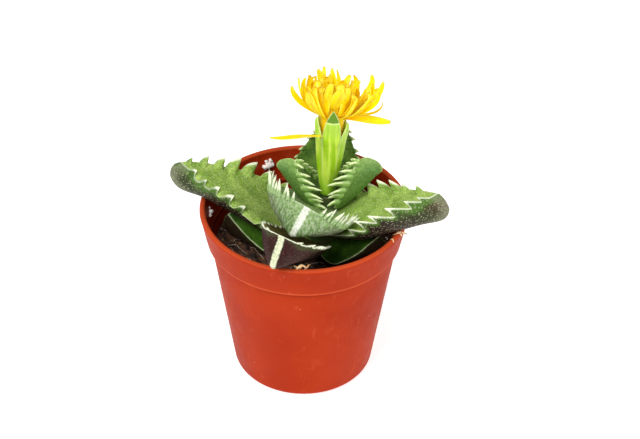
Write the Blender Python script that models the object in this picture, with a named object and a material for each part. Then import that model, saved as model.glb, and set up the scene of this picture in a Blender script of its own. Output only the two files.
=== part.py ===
"""Tiger jaws succulent in a small nursery pot.

The pot stands on the ground plane with its axis on the Z axis. The plant's stem comes out of
the soil a little to the right of that axis, and the front leaf points towards -Y.
"""

import math
import random
from typing import NamedTuple

import bmesh
import bpy
from mathutils import Euler, Matrix, Vector, noise

MM = 0.001
GAP = 0.3 * MM

# Pot, turned about the Z axis
RIM_RADIUS = 32.5 * MM
POT_HEIGHT = 60.0 * MM
RIM_BAND_HEIGHT = 11.25 * MM
RIM_BAND_STEP = 1.3 * MM
RIM_LIP = 1.8 * MM
WALL_UNDER_BAND_RADIUS = 29.2 * MM
BASE_RADIUS = 22.4 * MM
BASE_EDGE_RADIUS = 2.4 * MM
WALL = 1.1 * MM
FLOOR = 1.4 * MM
POT_SIDES = 48
DRAIN_HOLES = 5
DRAIN_RADIUS = 2.75 * MM
DRAIN_RING_RADIUS = 13.5 * MM

# Soil
SOIL_AT_WALL = 45.4 * MM
SOIL_AT_STEM = 43.6 * MM
SOIL_BUMP = 0.5 * MM
SOIL_RINGS = 5
SOIL_SIDES = 32

# Stem, from its foot in the soil to the short flower stalk: centre x, y, z and radius
STEM_FOOT = Vector((5.0, 0.0, 33.0)) * MM
STEM_RADIUS = 4.5 * MM
STEM_STATIONS = (
    (5.0, 0.0, 33.0, 3.6),
    (5.0, 0.0, 43.0, 4.5),
    (5.2, 0.0, 50.0, 5.0),
    (6.2, 0.0, 57.5, 4.6),
    (6.6, 0.4, 61.0, 2.6),
    (6.8, 0.7, 63.65, 2.0),
)
STEM_SIDES = 14

# Leaf sections
FLANK_POINTS = 2
FACE_POINTS = 1
LEAF_STATIONS = 14
FLAT_FLANK = 1.25
ROUND_FLANK = 2.0

DISH = 0.07

# Margin teeth
TOOTH_HALF_FOOT = 2.3 * MM
TOOTH_FLATNESS = 0.62
TOOTH_TIP_RISE = 0.2
TOOTH_SECTIONS = (
    # share of the height, of the half foot and of the half thickness, and upward bend
    (-0.45, 1.1, 1.1, 0.0),
    (0.12, 0.8, 0.7, 0.0),
    (0.6, 0.3, 0.34, 0.06),
)
LEFT, RIGHT = 0, 1
TEETH_FROM = 0.25
TEETH_TO = 0.94

# Flower, along an axis that leans a little back and to the right
FLOWER_FOOT = Vector((6.8, 0.7, 64.35)) * MM
FLOWER_LEAN_BACK = math.radians(10)
FLOWER_LEAN_RIGHT = math.radians(3.5)
CALYX_SIDES = 20
CALYX_CUP = (
    # outer radius and height of the ovary and tube, in mm along the flower's axis
    (1.9, 0.0),
    (2.4, 3.0),
    (3.3, 7.0),
    (4.15, 13.0),
    (4.6, 17.0),
    (4.85, 20.0),
)
CUP_FLOOR = 13.5
CUP_RADIUS = 3.4
CUP_MOUTH_RADIUS = 4.15
SEPALS = 5
SEPAL_THICK = 0.9 * MM
FRONT_SEPAL_AZIMUTH = -90
FRONT_SEPAL_REACH = 32
SEPAL_TIPS = (30.0, 25.0, 26.2, 26.2, 26.4)
SEPAL_SECTIONS = (
    # outer radius and height in mm, half angle in degrees, up to where the sepals part
    (3.75, 8.0, 30),
    (4.35, 13.0, 34),
    (4.85, 17.0, 33),
    (5.15, 20.0, 30),
)
SEPAL_FREE_ENDS = (
    # share of the rise to the tip, outward lean in mm and share of the half angle
    (0.40, 0.35, 0.78),
    (0.78, 0.50, 0.42),
    (1.00, 0.20, 0.0),
)
PETAL_THICK = 0.7 * MM
PETAL_WIDTH = 3.0 * MM
PETAL_OUTLINE = (0.75, 1.0, 0.95, 0.4)
PETAL_FLARE = 10.8 * MM
PETAL_LEAN_RIGHT = 6
PETALS_SHUT = 0.35
PETAL_LAYERS = (
    # count, tilt where the petals part, turn towards upright, length share, radius where they part
    (8, 10, -8, 0.85, 2.2),
    (10, 42, -32, 0.95, 3.0),
    (12, 70, -50, 1.2, 3.8),
)
CORE_ABOVE_TUBE = ((3.2, 23.0), (2.7, 27.0), (1.3, 30.0), (0, 30.6))
PETALS_PART_AT = 27.2 * MM
FRONT_PETALS_PART_AT = 30.6 * MM
STRAY_PETALS = (
    # azimuth, height where it leaves the tube, tilt, turn, length and width
    (-10, 26.2, 89, -1, 13.4, 2.8),
    (8, 27.2, 100, -38, 12.5, 1.3),
    (234, 21.9, 71.5, 6, 28.0, 1.1),
)
STRAY_PETALS_PART_RADIUS = 3.5
SEED = 7


class Leaf(NamedTuple):
    """One leaf: where its upper face meets the stem, its pose in degrees and its sizes in mm.

    The sizes and leans of its teeth are given for its left and its right margin, seen from its foot.
    """

    name: str
    foot: tuple
    azimuth: float
    pitch: float
    roll: float
    length: float
    width: float
    widest: float
    foot_width: float
    depth: float
    foot_depth: float
    chin: float
    curl: float
    sweep: float
    bluntness: float
    teeth: int
    tooth_sizes: tuple
    tooth_rise: float
    tooth_leans: tuple


LEAVES = (
    Leaf(
        "low_left", (5.0, 0.0, 48.3), 178, 15, -7.5, 29.5, 24.5, 0.54, 9.0,
        8.5, 3.5, 0.9, -7, -1.5, 0.0,
        0, (0, 0), 0, (0, 0),
    ),
    Leaf(
        "low_right", (5.0, 0.0, 48.0), -27.5, 17, 20, 23.3, 21.2, 0.45, 9.0,
        6.6, 3.5, 0.3, 16, -0.8, 0.0,
        0, (0, 0), 0, (0, 0),
    ),
    Leaf(
        "front_low", (4.3, -1.2, 46.6), 250, 42, -10.5, 43.2, 18.4, 0.72, 6.0,
        10.2, 3.5, -2.0, -5.5, 0.9, 1.0,
        6, (2.6, 2.6), 40, (0.4, 0.4),
    ),
    Leaf(
        "back_low", (5.5, 0.0, 49.5), 66, 17, 0, 25.0, 18.0, 0.5, 9.0,
        8.5, 4.0, 0.4, 0, 0, 0.5,
        6, (2.4, 2.4), 40, (0.25, 0.25),
    ),
    Leaf(
        "big_left", (4.7, -0.7, 48.0), 178.5, 43.5, -1, 49.7, 24.0, 0.32, 9.0,
        9.7, 4.2, 2.3, -28, -4.7, 0.2,
        7, (3.0, 2.4), 60, (0.9, 0.15),
    ),
    Leaf(
        "big_right", (3.8, -1.3, 55.6), -29.5, 28, 12, 43.7, 20.2, 0.42, 9.0,
        10.2, 3.5, 0.8, -0.7, 5.6, 0.0,
        6, (3.2, 4.4), 75, (0.45, 0.1),
    ),
    Leaf(
        "front_high", (4.4, 2.3, 60.4), 249.3, 24.8, -14, 32.8, 28.2, 0.3, 9.9,
        9.8, 3.5, -1.0, 23.7, 5.0, 1.0,
        10, (4.0, 4.0), 62, (0.25, 0.25),
    ),
    Leaf(
        "back_high", (6.4, 1.5, 56.5), 94, 35, 12, 32.0, 22.5, 0.37, 9.0,
        8.5, 4.0, 0.5, 9, -5.5, 0.3,
        7, (2.6, 1.7), 42, (0.25, 0.25),
    ),
    Leaf(
        "inner_left", (7.0, 0.6, 60.3), 172, 51, -2, 19.6, 10.8, 0.3, 7.0,
        6.8, 3.7, 1.2, 19, 1.7, 0.2,
        7, (3.6, 3.6), 62, (0.25, 0.25),
    ),
    Leaf(
        "inner_right", (9.1, 0.8, 61.2), -4, 74.5, 4, 19.0, 9.2, 0.3, 7.0,
        8.5, 3.5, 2.7, -14.5, -1.8, 0.0,
        7, (2.0, 3.6), 62, (0.25, 0.25),
    ),
)

# Shares along the leaf of the stations that its margins and its keel pass through
MARGIN_CONTROLS = (0.0, 0.2, 0.4, 0.58, 0.72, 0.82, 0.89, 0.945, 0.985, 1.0)
KEEL_CONTROLS = (
    # share of the length, share of the chin, share of the depth
    (0.0, 0.0, None),
    (0.2, 0.0, None),
    (0.4, 0.0, None),
    (0.6, 0.0, None),
    (0.78, 0.1, 0.93),
    (0.92, 0.6, 1.0),
    (0.985, 1.0, 0.77),
    (1.0, 1.15, 0.45),
    (1.0, 0.85, 0.15),
    (1.0, 0.0, 0.0),
)


def clear_scene():
    for thing in list(bpy.data.objects):
        bpy.data.objects.remove(thing, do_unlink=True)


def material(name, colour, roughness, metallic=0.0):
    made = bpy.data.materials.new(name)
    made.use_nodes = True
    shader = made.node_tree.nodes["Principled BSDF"]
    shader.inputs["Base Color"].default_value = (*colour, 1.0)
    shader.inputs["Roughness"].default_value = roughness
    shader.inputs["Metallic"].default_value = metallic
    return made


def add_object(name, points, faces, skin=None):
    """A mesh object in the scene, its faces turned outwards."""
    mesh = bpy.data.meshes.new(name)
    mesh.from_pydata([tuple(point) for point in points], [], faces)
    work = bmesh.new()
    work.from_mesh(mesh)
    bmesh.ops.triangulate(work, faces=work.faces)
    bmesh.ops.recalc_face_normals(work, faces=work.faces)
    work.to_mesh(mesh)
    work.free()
    thing = bpy.data.objects.new(name, mesh)
    bpy.context.scene.collection.objects.link(thing)
    if skin:
        mesh.materials.append(skin)
    return thing


def shade_smooth(thing, angle=35):
    for face in thing.data.polygons:
        face.use_smooth = True
    thing.data.set_sharp_from_angle(angle=math.radians(angle))


def loft(rings, start_point=None, end_point=None):
    """Points and faces of a tube through rings of equal count, its ends capped or drawn to a point."""
    count = len(rings[0])
    points = [point for ring in rings for point in ring]
    faces = []
    for row in range(len(rings) - 1):
        for index in range(count):
            after = (index + 1) % count
            low, high = row * count, (row + 1) * count
            faces.append((low + index, low + after, high + after, high + index))
    for end, first in ((start_point, 0), (end_point, (len(rings) - 1) * count)):
        ring = list(range(first, first + count))
        if end is None:
            faces.append(ring)
            continue
        points.append(end)
        tip = len(points) - 1
        faces.extend((ring[index], ring[(index + 1) % count], tip) for index in range(count))
    return points, faces


def turned(name, profile, sides, skin):
    """A solid turned about the Z axis from (radius, height) points that start and end on it."""
    rings = []
    for radius, height in profile[1:-1]:
        angles = (2 * math.pi * side / sides for side in range(sides))
        rings.append([Vector((radius * math.cos(a), radius * math.sin(a), height)) for a in angles])
    first, last = (Vector((0, 0, profile[end][1])) for end in (0, -1))
    return add_object(name, *loft(rings, first, last), skin)


def join_all(name, pieces, skin):
    """One solid from many by a union, with the pieces removed afterwards."""
    group = bpy.data.collections.new(name + "_pieces")
    bpy.context.scene.collection.children.link(group)
    body, *others = pieces
    for piece in others:
        bpy.context.scene.collection.objects.unlink(piece)
        group.objects.link(piece)
    union = body.modifiers.new("Union", "BOOLEAN")
    union.operation = "UNION"
    union.operand_type = "COLLECTION"
    union.solver = "MANIFOLD"
    union.collection = group
    apply_modifiers(body)
    for piece in others:
        bpy.data.objects.remove(piece, do_unlink=True)
    bpy.data.collections.remove(group)
    keep_largest(body)
    body.name = name
    body.data.name = name
    body.data.materials.clear()
    body.data.materials.append(skin)
    return body


def keep_largest(thing):
    """Fills the hollows that a union sealed and drops loose scraps, by keeping the widest surface."""
    work = bmesh.new()
    work.from_mesh(thing.data)
    waiting = set(work.verts)
    surfaces = []
    while waiting:
        found = {waiting.pop()}
        edge = set(found)
        while edge:
            edge = {link.other_vert(point) for point in edge for link in point.link_edges} - found
            found |= edge
        waiting -= found
        surfaces.append(found)
    widest = max(surfaces, key=len)
    stray = [point for surface in surfaces if surface is not widest for point in surface]
    bmesh.ops.delete(work, geom=stray, context="VERTS")
    work.to_mesh(thing.data)
    work.free()


def apply_modifiers(thing):
    graph = bpy.context.evaluated_depsgraph_get()
    mesh = bpy.data.meshes.new_from_object(thing.evaluated_get(graph))
    thing.modifiers.clear()
    thing.data = mesh


def cut(body, cutter):
    """Takes the cutter away from the body and removes the cutter."""
    difference = body.modifiers.new("Cut", "BOOLEAN")
    difference.operation = "DIFFERENCE"
    difference.solver = "MANIFOLD"
    difference.object = cutter
    apply_modifiers(body)
    bpy.data.objects.remove(cutter, do_unlink=True)


def cylinder(name, centre, radius, low, high, sides):
    angles = [2 * math.pi * side / sides for side in range(sides)]
    rings = [
        [Vector((centre[0] + radius * math.cos(a), centre[1] + radius * math.sin(a), z)) for a in angles]
        for z in (low, high)
    ]
    return add_object(name, *loft(rings))


def spline(values, share):
    """A smooth curve through evenly spaced numbers or vectors, read at a share from 0 to 1."""
    spans = len(values) - 1
    place = min(max(share, 0.0), 1.0) * spans
    start = min(int(place), spans - 1)
    f = place - start
    before, here, there, after = (values[min(max(start + step, 0), spans)] for step in (-1, 0, 1, 2))
    return 0.5 * (
        2 * here
        + (there - before) * f
        + (2 * before - 5 * here + 4 * there - after) * f**2
        + (3 * here - before - 3 * there + after) * f**3
    )


# Pot and soil


def inner_radius(height):
    """The pot's inner wall radius at a height, straight from the floor to the lip."""
    share = (height - FLOOR) / (POT_HEIGHT - FLOOR)
    low = BASE_RADIUS - WALL
    return low + (RIM_RADIUS - RIM_LIP - low) * share


def pot_profile():
    """Radius and height from the centre of the underside, round the rim, to the floor's centre."""
    edge = BASE_EDGE_RADIUS
    band_foot = POT_HEIGHT - RIM_BAND_HEIGHT
    band_radius = WALL_UNDER_BAND_RADIUS + RIM_BAND_STEP
    lip = RIM_LIP / 2
    underside = [
        (BASE_RADIUS - edge + edge * math.sin(turn), edge - edge * math.cos(turn))
        for turn in (math.radians(angle) for angle in (0, 22, 45, 68, 86))
    ]
    band = [
        (WALL_UNDER_BAND_RADIUS, band_foot - 0.6 * MM),
        (WALL_UNDER_BAND_RADIUS + 0.5 * MM, band_foot - 0.1 * MM),
        (band_radius - 0.3 * MM, band_foot),
        (band_radius, band_foot + 0.5 * MM),
        (RIM_RADIUS - 0.1 * MM, POT_HEIGHT - lip),
    ]
    rim = [
        (RIM_RADIUS - lip + lip * math.cos(turn), POT_HEIGHT - lip + lip * math.sin(turn))
        for turn in (math.radians(angle) for angle in (30, 60, 90, 120, 150))
    ]
    inside = [(inner_radius(z), z) for z in (POT_HEIGHT - lip, SOIL_AT_WALL, 3.2 * MM)]
    floor_edge = (inner_radius(FLOOR) - 1.6 * MM, FLOOR)
    return [(0, 0), *underside, *band, *rim, *inside, floor_edge, (0, FLOOR)]


def make_pot(skin):
    pot = turned("pot", pot_profile(), POT_SIDES, skin)
    for hole in range(DRAIN_HOLES):
        turn = 2 * math.pi * (hole + 0.5) / DRAIN_HOLES
        centre = (DRAIN_RING_RADIUS * math.cos(turn), DRAIN_RING_RADIUS * math.sin(turn))
        cut(pot, cylinder("drain", centre, DRAIN_RADIUS, -MM, FLOOR + MM, 16))
    shade_smooth(pot)
    return pot


def soil_height(x, y):
    """The soil's top, dished from the wall to the stem and rough."""
    share = math.hypot(x, y) / inner_radius(SOIL_AT_WALL)
    rough = noise.noise(Vector((x, y, 0)) / (5 * MM))
    return SOIL_AT_STEM + (SOIL_AT_WALL - SOIL_AT_STEM) * share**3 + SOIL_BUMP * rough


def make_soil(skin):
    low = FLOOR + GAP
    heights = (low, 12 * MM, 30 * MM, SOIL_AT_WALL - 0.8 * MM)
    profile = [(0, low), (inner_radius(low) - 2.0 * MM - GAP, low)]
    profile += [(inner_radius(z) - GAP - 0.1 * MM, z) for z in (3.4 * MM, *heights[1:])]
    edge = profile[-1][0]
    profile += [(edge * (1 - step / SOIL_RINGS), SOIL_AT_WALL) for step in range(SOIL_RINGS)]
    soil = turned("soil", [*profile, (0, SOIL_AT_WALL)], SOIL_SIDES, skin)
    for vertex in soil.data.vertices:
        if vertex.co.z > SOIL_AT_WALL - 0.4 * MM:
            vertex.co.z = soil_height(vertex.co.x, vertex.co.y)
            vertex.co.xy *= 1 - 0.15 * GAP / MM * (vertex.co.xy.length > edge - GAP)
    hole = STEM_RADIUS + 1.6 * GAP
    cut(soil, cylinder("stem_hole", STEM_FOOT, hole, STEM_FOOT.z - GAP, POT_HEIGHT, 20))
    return soil


# Stem and leaves


def make_stem():
    rings = []
    for x, y, z, radius in STEM_STATIONS:
        angles = (2 * math.pi * side / STEM_SIDES for side in range(STEM_SIDES))
        rings.append([Vector((x + radius * math.cos(a), y + radius * math.sin(a), z)) * MM for a in angles])
    return add_object("stem", *loft(rings))


def half_width(leaf, share):
    """Half the upper face's width at a share of the leaf's length."""
    if share < leaf.widest:
        rise = math.sin(share / leaf.widest * math.pi / 2)
        return (leaf.foot_width + (leaf.width - leaf.foot_width) * rise) / 2
    taper = (share - leaf.widest) / (1 - leaf.widest)
    sharp = 1 - taper**1.45
    blunt = max(1 - taper**2.2, 0) ** 0.62
    return leaf.width / 2 * (sharp + (blunt - sharp) * leaf.bluntness)


def keel_point(leaf, share):
    """Length along the leaf and depth below its upper face of the keel, at a share of its curve."""
    lengths, depths = [], []
    for along, chin, deep in KEEL_CONTROLS:
        lengths.append(along * leaf.length + chin * leaf.chin)
        if deep is None:
            rise = math.sin(along / 0.8 * math.pi / 2)
            depths.append(leaf.foot_depth + (0.93 * leaf.depth - leaf.foot_depth) * rise)
        else:
            depths.append(deep * leaf.depth)
    return spline(lengths, share), spline(depths, share)


def bent(leaf, along, across, up):
    """A point of the straight leaf, in mm, moved to where the curled and posed leaf has it."""
    turn = math.radians(leaf.curl) / leaf.length
    angle = turn * along
    if abs(turn) > 1e-6:
        x, z = math.sin(angle) / turn, (1 - math.cos(angle)) / turn
    else:
        x, z = along, 0.0
    aside = across + leaf.sweep * (along / leaf.length) ** 2
    local = Vector((x - up * math.sin(angle), aside, z + up * math.cos(angle)))
    pose = Matrix.Rotation(math.radians(leaf.azimuth), 4, "Z")
    pose @= Matrix.Rotation(-math.radians(leaf.pitch), 4, "Y")
    pose @= Matrix.Rotation(math.radians(leaf.roll), 4, "X")
    return (Vector(leaf.foot) + pose @ local) * MM


def leaf_ring(leaf, share):
    """One section: across the upper face, then down one flank to the keel and up the other."""
    margin = spline(MARGIN_CONTROLS, share)
    half = half_width(leaf, margin)
    margin_at = margin * leaf.length
    keel_at, depth = keel_point(leaf, share)
    power = ROUND_FLANK + (FLAT_FLANK - ROUND_FLANK) * min(share * 1.6, 1)
    dish = DISH * half
    ring = []
    for step in range(FACE_POINTS + 2):
        side = 1 - 2 * step / (FACE_POINTS + 1)
        ring.append(bent(leaf, margin_at, half * side, -dish * (1 - side**2)))
    flank = []
    for step in range(1, FLANK_POINTS + 1):
        turn = step / (FLANK_POINTS + 1) * math.pi / 2
        down = math.sin(turn) ** (2 / power)
        out = math.cos(turn) ** (2 / power)
        flank.append((margin_at + (keel_at - margin_at) * down, out * half, -depth * down))
    ring += [bent(leaf, along, -across, up) for along, across, up in flank]
    ring.append(bent(leaf, keel_at, 0, -depth))
    ring += [bent(leaf, along, across, up) for along, across, up in reversed(flank)]
    return ring


def make_leaf(leaf):
    rings = [leaf_ring(leaf, station / LEAF_STATIONS) for station in range(LEAF_STATIONS)]
    return add_object(leaf.name, *loft(rings, None, bent(leaf, leaf.length, 0, 0)))


def make_tooth(leaf, side, share, size):
    """A thorn on the margin, broad along it, that rises outwards and leans back to the stem."""
    half = half_width(leaf, share)
    root = bent(leaf, share * leaf.length, side * half, 0)
    along = (bent(leaf, (share + 0.02) * leaf.length, side * half, 0) - root).normalized()
    inward = (bent(leaf, share * leaf.length, 0, 0) - root).normalized()
    up = along.cross(inward).normalized() * -side
    rise = math.radians(leaf.tooth_rise)
    lean = leaf.tooth_leans[LEFT if side > 0 else RIGHT]
    grow = (up * math.sin(rise) - inward * math.cos(rise) - along * lean).normalized()
    thin = along.cross(grow).normalized()
    half_foot = min(TOOTH_HALF_FOOT, leaf.length / leaf.teeth / 3 * MM)
    rings = []
    for reach, wide, thick, bend in TOOTH_SECTIONS:
        middle = root + grow * reach * size + up * bend * size
        spread, depth = along * half_foot * wide, thin * half_foot * TOOTH_FLATNESS * thick
        rings.append([middle + spread, middle + depth, middle - spread, middle - depth])
    tip = root + (grow + up * TOOTH_TIP_RISE) * size
    return add_object("tooth", *loft(rings, None, tip))


def margin_share(leaf, part):
    """The share of the leaf's length at a part of the way along its margin, measured on the curve."""
    steps = 60
    places = [(step / steps * leaf.length, half_width(leaf, step / steps)) for step in range(steps + 1)]
    reach = [0.0]
    for here, there in zip(places, places[1:]):
        reach.append(reach[-1] + math.dist(here, there))
    wanted = part * reach[-1]
    step = next(number for number in range(1, steps + 1) if reach[number] >= wanted)
    return (step - (reach[step] - wanted) / (reach[step] - reach[step - 1])) / steps


def leaf_teeth(leaf, draw):
    """Teeth along both margins, largest halfway, each a little different."""
    teeth = []
    for side in (-1, 1):
        for number in range(leaf.teeth):
            place = (number + 0.5 + draw.uniform(-0.16, 0.16)) / leaf.teeth
            share = margin_share(leaf, TEETH_FROM + (TEETH_TO - TEETH_FROM) * place)
            swell = 0.62 + 0.38 * math.sin(math.pi * (0.1 + 0.85 * place))
            size = leaf.tooth_sizes[LEFT if side > 0 else RIGHT] * swell * draw.uniform(0.88, 1.12) * MM
            teeth.append(make_tooth(leaf, side, share, size))
    return teeth


def make_rosette(skin):
    """The stem with all its leaves and their teeth, which grew as one body."""
    draw = random.Random(SEED)
    pieces = [make_stem()]
    for leaf in LEAVES:
        pieces.append(make_leaf(leaf))
        pieces += leaf_teeth(leaf, draw)
    rosette = join_all("rosette", pieces, skin)
    shade_smooth(rosette, 30)
    return rosette


# Flower


def flower_pose():
    lean = Euler((-FLOWER_LEAN_BACK, FLOWER_LEAN_RIGHT, 0)).to_matrix().to_4x4()
    return Matrix.Translation(FLOWER_FOOT) @ lean


def strip(name, pose, stations):
    """A blade through (out, up, half width, half thickness) stations, given in mm along its pose."""
    rings = []
    for number, (out, up, half, thick) in enumerate(stations):
        before = stations[max(number - 1, 0)]
        after = stations[min(number + 1, len(stations) - 1)]
        slope = Vector((after[0] - before[0], 0, after[1] - before[1])).normalized()
        face = Vector((-slope.z, 0, slope.x)) * thick
        middle = Vector((out, 0, up))
        side = Vector((0, half, 0))
        ring = [middle + side + face, middle - side + face, middle - side - face, middle + side - face]
        rings.append([pose @ (corner * MM) for corner in ring])
    return add_object(name, *loft(rings))


def sepal_ring(pose, out, up, half_angle, thick):
    """A section of a sepal, wrapped round the flower's axis."""
    ring = []
    for radius, turns in ((out, (1, 0, -1)), (out - thick, (-1, 0, 1))):
        for turn in turns:
            angle = math.radians(half_angle) * turn
            ring.append(pose @ (Vector((radius * math.cos(angle), radius * math.sin(angle), up)) * MM))
    return ring


def make_calyx(skin):
    """The green ovary and tube, open at the top, with five pointed sepals round its mouth."""
    pose = flower_pose()
    mouth = CALYX_CUP[-1][1]
    outline = [(0, 0), *CALYX_CUP, (CUP_MOUTH_RADIUS, mouth), (CUP_RADIUS, CUP_FLOOR), (0, CUP_FLOOR)]
    cup = turned("cup", [(radius * MM, height * MM) for radius, height in outline], CALYX_SIDES, skin)
    cup.data.transform(pose)
    thick = SEPAL_THICK / MM
    part_radius, part_height, part_angle = SEPAL_SECTIONS[-1]
    pieces = [cup]
    for number, tip in enumerate(SEPAL_TIPS):
        turn = Matrix.Rotation(math.radians(FRONT_SEPAL_AZIMUTH + 360 * number / SEPALS), 4, "Z")
        free = [
            (part_radius + lean, part_height + share * (tip - part_height), part_angle * narrow)
            for share, lean, narrow in SEPAL_FREE_ENDS
        ]
        sections = (*SEPAL_SECTIONS, *free[:-1])
        rings = [sepal_ring(pose @ turn, *section, thick) for section in sections]
        point = pose @ turn @ (Vector((free[-1][0], 0, free[-1][1])) * MM)
        pieces.append(add_object("sepal", *loft(rings, None, point)))
    calyx = join_all("calyx", pieces, skin)
    shade_smooth(calyx, 40)
    return calyx


def petal_stations(foot, part, tilt, curve, flare, width):
    """Stations of a petal that climbs from its foot to where it parts, then flares and curves."""
    thick = PETAL_THICK / MM / 2
    half = width / 2
    stations = [(*foot, half * 0.5, thick)]
    out, up = part
    steps = len(PETAL_OUTLINE) - 1
    for step, share in enumerate(PETAL_OUTLINE):
        stations.append((out, up, half * share, thick))
        angle = math.radians(tilt + curve * (step + 0.5) / steps)
        out += math.sin(angle) * flare / steps
        up += math.cos(angle) * flare / steps
    return stations


def faces_front_sepal(azimuth):
    return abs((azimuth - FRONT_SEPAL_AZIMUTH + 180) % 360 - 180) < FRONT_SEPAL_REACH


def make_corolla(skin):
    """The yellow bloom: a small core with its petals in three layers and a few that have dropped."""
    draw = random.Random(SEED)
    pose = flower_pose()
    floor = CUP_FLOOR + GAP / MM
    radius = CUP_RADIUS - 0.35
    top = floor + 3.6
    outline = [(0, floor), (radius - 0.1, floor), (radius, top), *CORE_ABOVE_TUBE]
    core = turned("core", [(out * MM, up * MM) for out, up in outline], CALYX_SIDES, skin)
    core.data.transform(pose)
    pieces = [core]
    for count, tilt, curve, share, part_radius in PETAL_LAYERS:
        start = draw.uniform(0, 360)
        for number in range(count):
            azimuth = start + 360 * (number + draw.uniform(-0.2, 0.2)) / count
            part = FRONT_PETALS_PART_AT if faces_front_sepal(azimuth) else PETALS_PART_AT
            drop = (part - PETALS_PART_AT) / MM
            flare = PETAL_FLARE / MM * share * draw.uniform(0.88, 1.08) - drop
            width = PETAL_WIDTH / MM * draw.uniform(0.85, 1.1)
            foot = (min(part_radius, 2.6), top - 0.6)
            aside = math.cos(math.radians(azimuth))
            opened = 1 - PETALS_SHUT * (1 - aside**2)
            lean = tilt * opened + draw.uniform(-5, 5) + PETAL_LEAN_RIGHT * aside
            stations = petal_stations(foot, (part_radius, part / MM), lean, curve * opened, flare, width)
            turn = Matrix.Rotation(math.radians(azimuth), 4, "Z")
            pieces.append(strip("petal", pose @ turn, stations))
    for azimuth, height, tilt, curve, flare, width in STRAY_PETALS:
        part = (STRAY_PETALS_PART_RADIUS, height)
        stations = petal_stations((2.4, top - 0.6), part, tilt, curve, flare, width)
        turn = Matrix.Rotation(math.radians(azimuth), 4, "Z")
        pieces.append(strip("petal", pose @ turn, stations))
    corolla = join_all("corolla", pieces, skin)
    shade_smooth(corolla, 40)
    return corolla


def main():
    clear_scene()
    make_pot(material("terracotta_plastic", (0.60, 0.10, 0.035), 0.38))
    make_soil(material("potting_soil", (0.030, 0.020, 0.014), 0.95))
    make_rosette(material("leaf_green", (0.16, 0.30, 0.09), 0.5))
    make_calyx(material("calyx_green", (0.28, 0.48, 0.05), 0.45))
    make_corolla(material("petal_yellow", (0.90, 0.62, 0.01), 0.5))


main()
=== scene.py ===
"""Tiger jaws in flower in a small nursery pot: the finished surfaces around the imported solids."""

import random
from math import cos, hypot, pi, radians, sin, sqrt
from typing import NamedTuple

import bmesh
import bpy
import numpy as np
from bpy.props import FloatProperty, FloatVectorProperty, IntProperty, PointerProperty
from mathutils import Euler, Matrix, Quaternion, Vector, kdtree, noise


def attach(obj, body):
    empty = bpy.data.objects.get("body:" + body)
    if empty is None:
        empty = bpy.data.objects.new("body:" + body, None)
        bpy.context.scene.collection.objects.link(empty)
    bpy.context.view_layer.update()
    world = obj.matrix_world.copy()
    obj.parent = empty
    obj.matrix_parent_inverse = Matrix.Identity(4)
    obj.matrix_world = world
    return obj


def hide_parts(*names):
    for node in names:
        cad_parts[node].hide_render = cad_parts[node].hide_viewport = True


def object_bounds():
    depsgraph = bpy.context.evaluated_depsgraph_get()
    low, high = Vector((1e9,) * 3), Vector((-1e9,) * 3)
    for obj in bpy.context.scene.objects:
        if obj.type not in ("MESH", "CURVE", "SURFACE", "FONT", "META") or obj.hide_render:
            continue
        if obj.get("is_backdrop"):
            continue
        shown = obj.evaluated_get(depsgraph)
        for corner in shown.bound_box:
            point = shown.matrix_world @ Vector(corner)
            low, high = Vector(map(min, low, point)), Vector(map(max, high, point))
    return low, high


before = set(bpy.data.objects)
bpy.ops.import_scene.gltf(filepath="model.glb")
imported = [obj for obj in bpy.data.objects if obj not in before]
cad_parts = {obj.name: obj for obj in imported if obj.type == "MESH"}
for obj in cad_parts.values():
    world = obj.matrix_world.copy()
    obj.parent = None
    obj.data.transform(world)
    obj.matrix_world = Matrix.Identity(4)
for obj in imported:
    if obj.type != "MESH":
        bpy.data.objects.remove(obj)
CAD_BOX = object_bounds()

bl_info = {
    "name": "Potted tiger jaws",
    "version": (1, 0, 0),
    "blender": (4, 5, 0),
    "location": "View3D > Sidebar > Tiger Jaws",
    "description": "Builds a flowering tiger jaws plant in its nursery pot around its solids",
    "category": "Add Mesh",
}

MM = 0.001
BODY = "root"
SEED = 11


def tone(red, green, blue):
    """A linear colour from its 0 to 255 screen values."""
    shares = (value / 255 for value in (red, green, blue))
    return tuple(v / 12.92 if v <= 0.04045 else ((v + 0.055) / 1.055) ** 2.4 for v in shares)


class Leaf(NamedTuple):
    """One leaf: where its upper face meets the stem, its pose in degrees and its sizes in mm.

    Its margins are given left and right, seen from its foot. A margin's paleness says how far its edge is
    pale. Its teeth are (share, size) pairs that rise at an angle from the upper face and lean back to the
    stem, its sink is how deep it dips between them, and its crown makes them humps below 1 and claws above.
    """

    name: str
    look: str
    foot: tuple
    azimuth: float
    pitch: float
    roll: float
    length: float
    width: float
    widest: float
    foot_width: float
    depth: float
    foot_depth: float
    chin: float
    curl: float
    sweep: float
    bluntness: float
    pale: tuple
    teeth: tuple = ((), ())
    rise: tuple = (0, 0)
    lean: tuple = (0, 0)
    sink: tuple = (0, 0)
    crown: tuple = (1, 1)
    thorns: tuple = ()


def row(count, size, first=0.22, last=0.96):
    """Teeth that stand evenly between two shares of a margin, largest halfway."""
    teeth = []
    for number in range(count):
        place = (number + 0.5 + 0.17 * sin(2.4 * number + size)) / count
        swell = 0.66 + 0.3 * sin(pi * (0.1 + 0.85 * place)) + 0.17 * sin(5.1 * number + size)
        teeth.append((first + (last - first) * place, size * swell))
    return tuple(teeth)


# Half length along the margin, half thickness and backward arch of the slender teeth of some leaves
LONG_THORNS = (0.8, 0.5, 0.25)
HOOKED_THORNS = (0.9, 0.6, 0.45)

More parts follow.
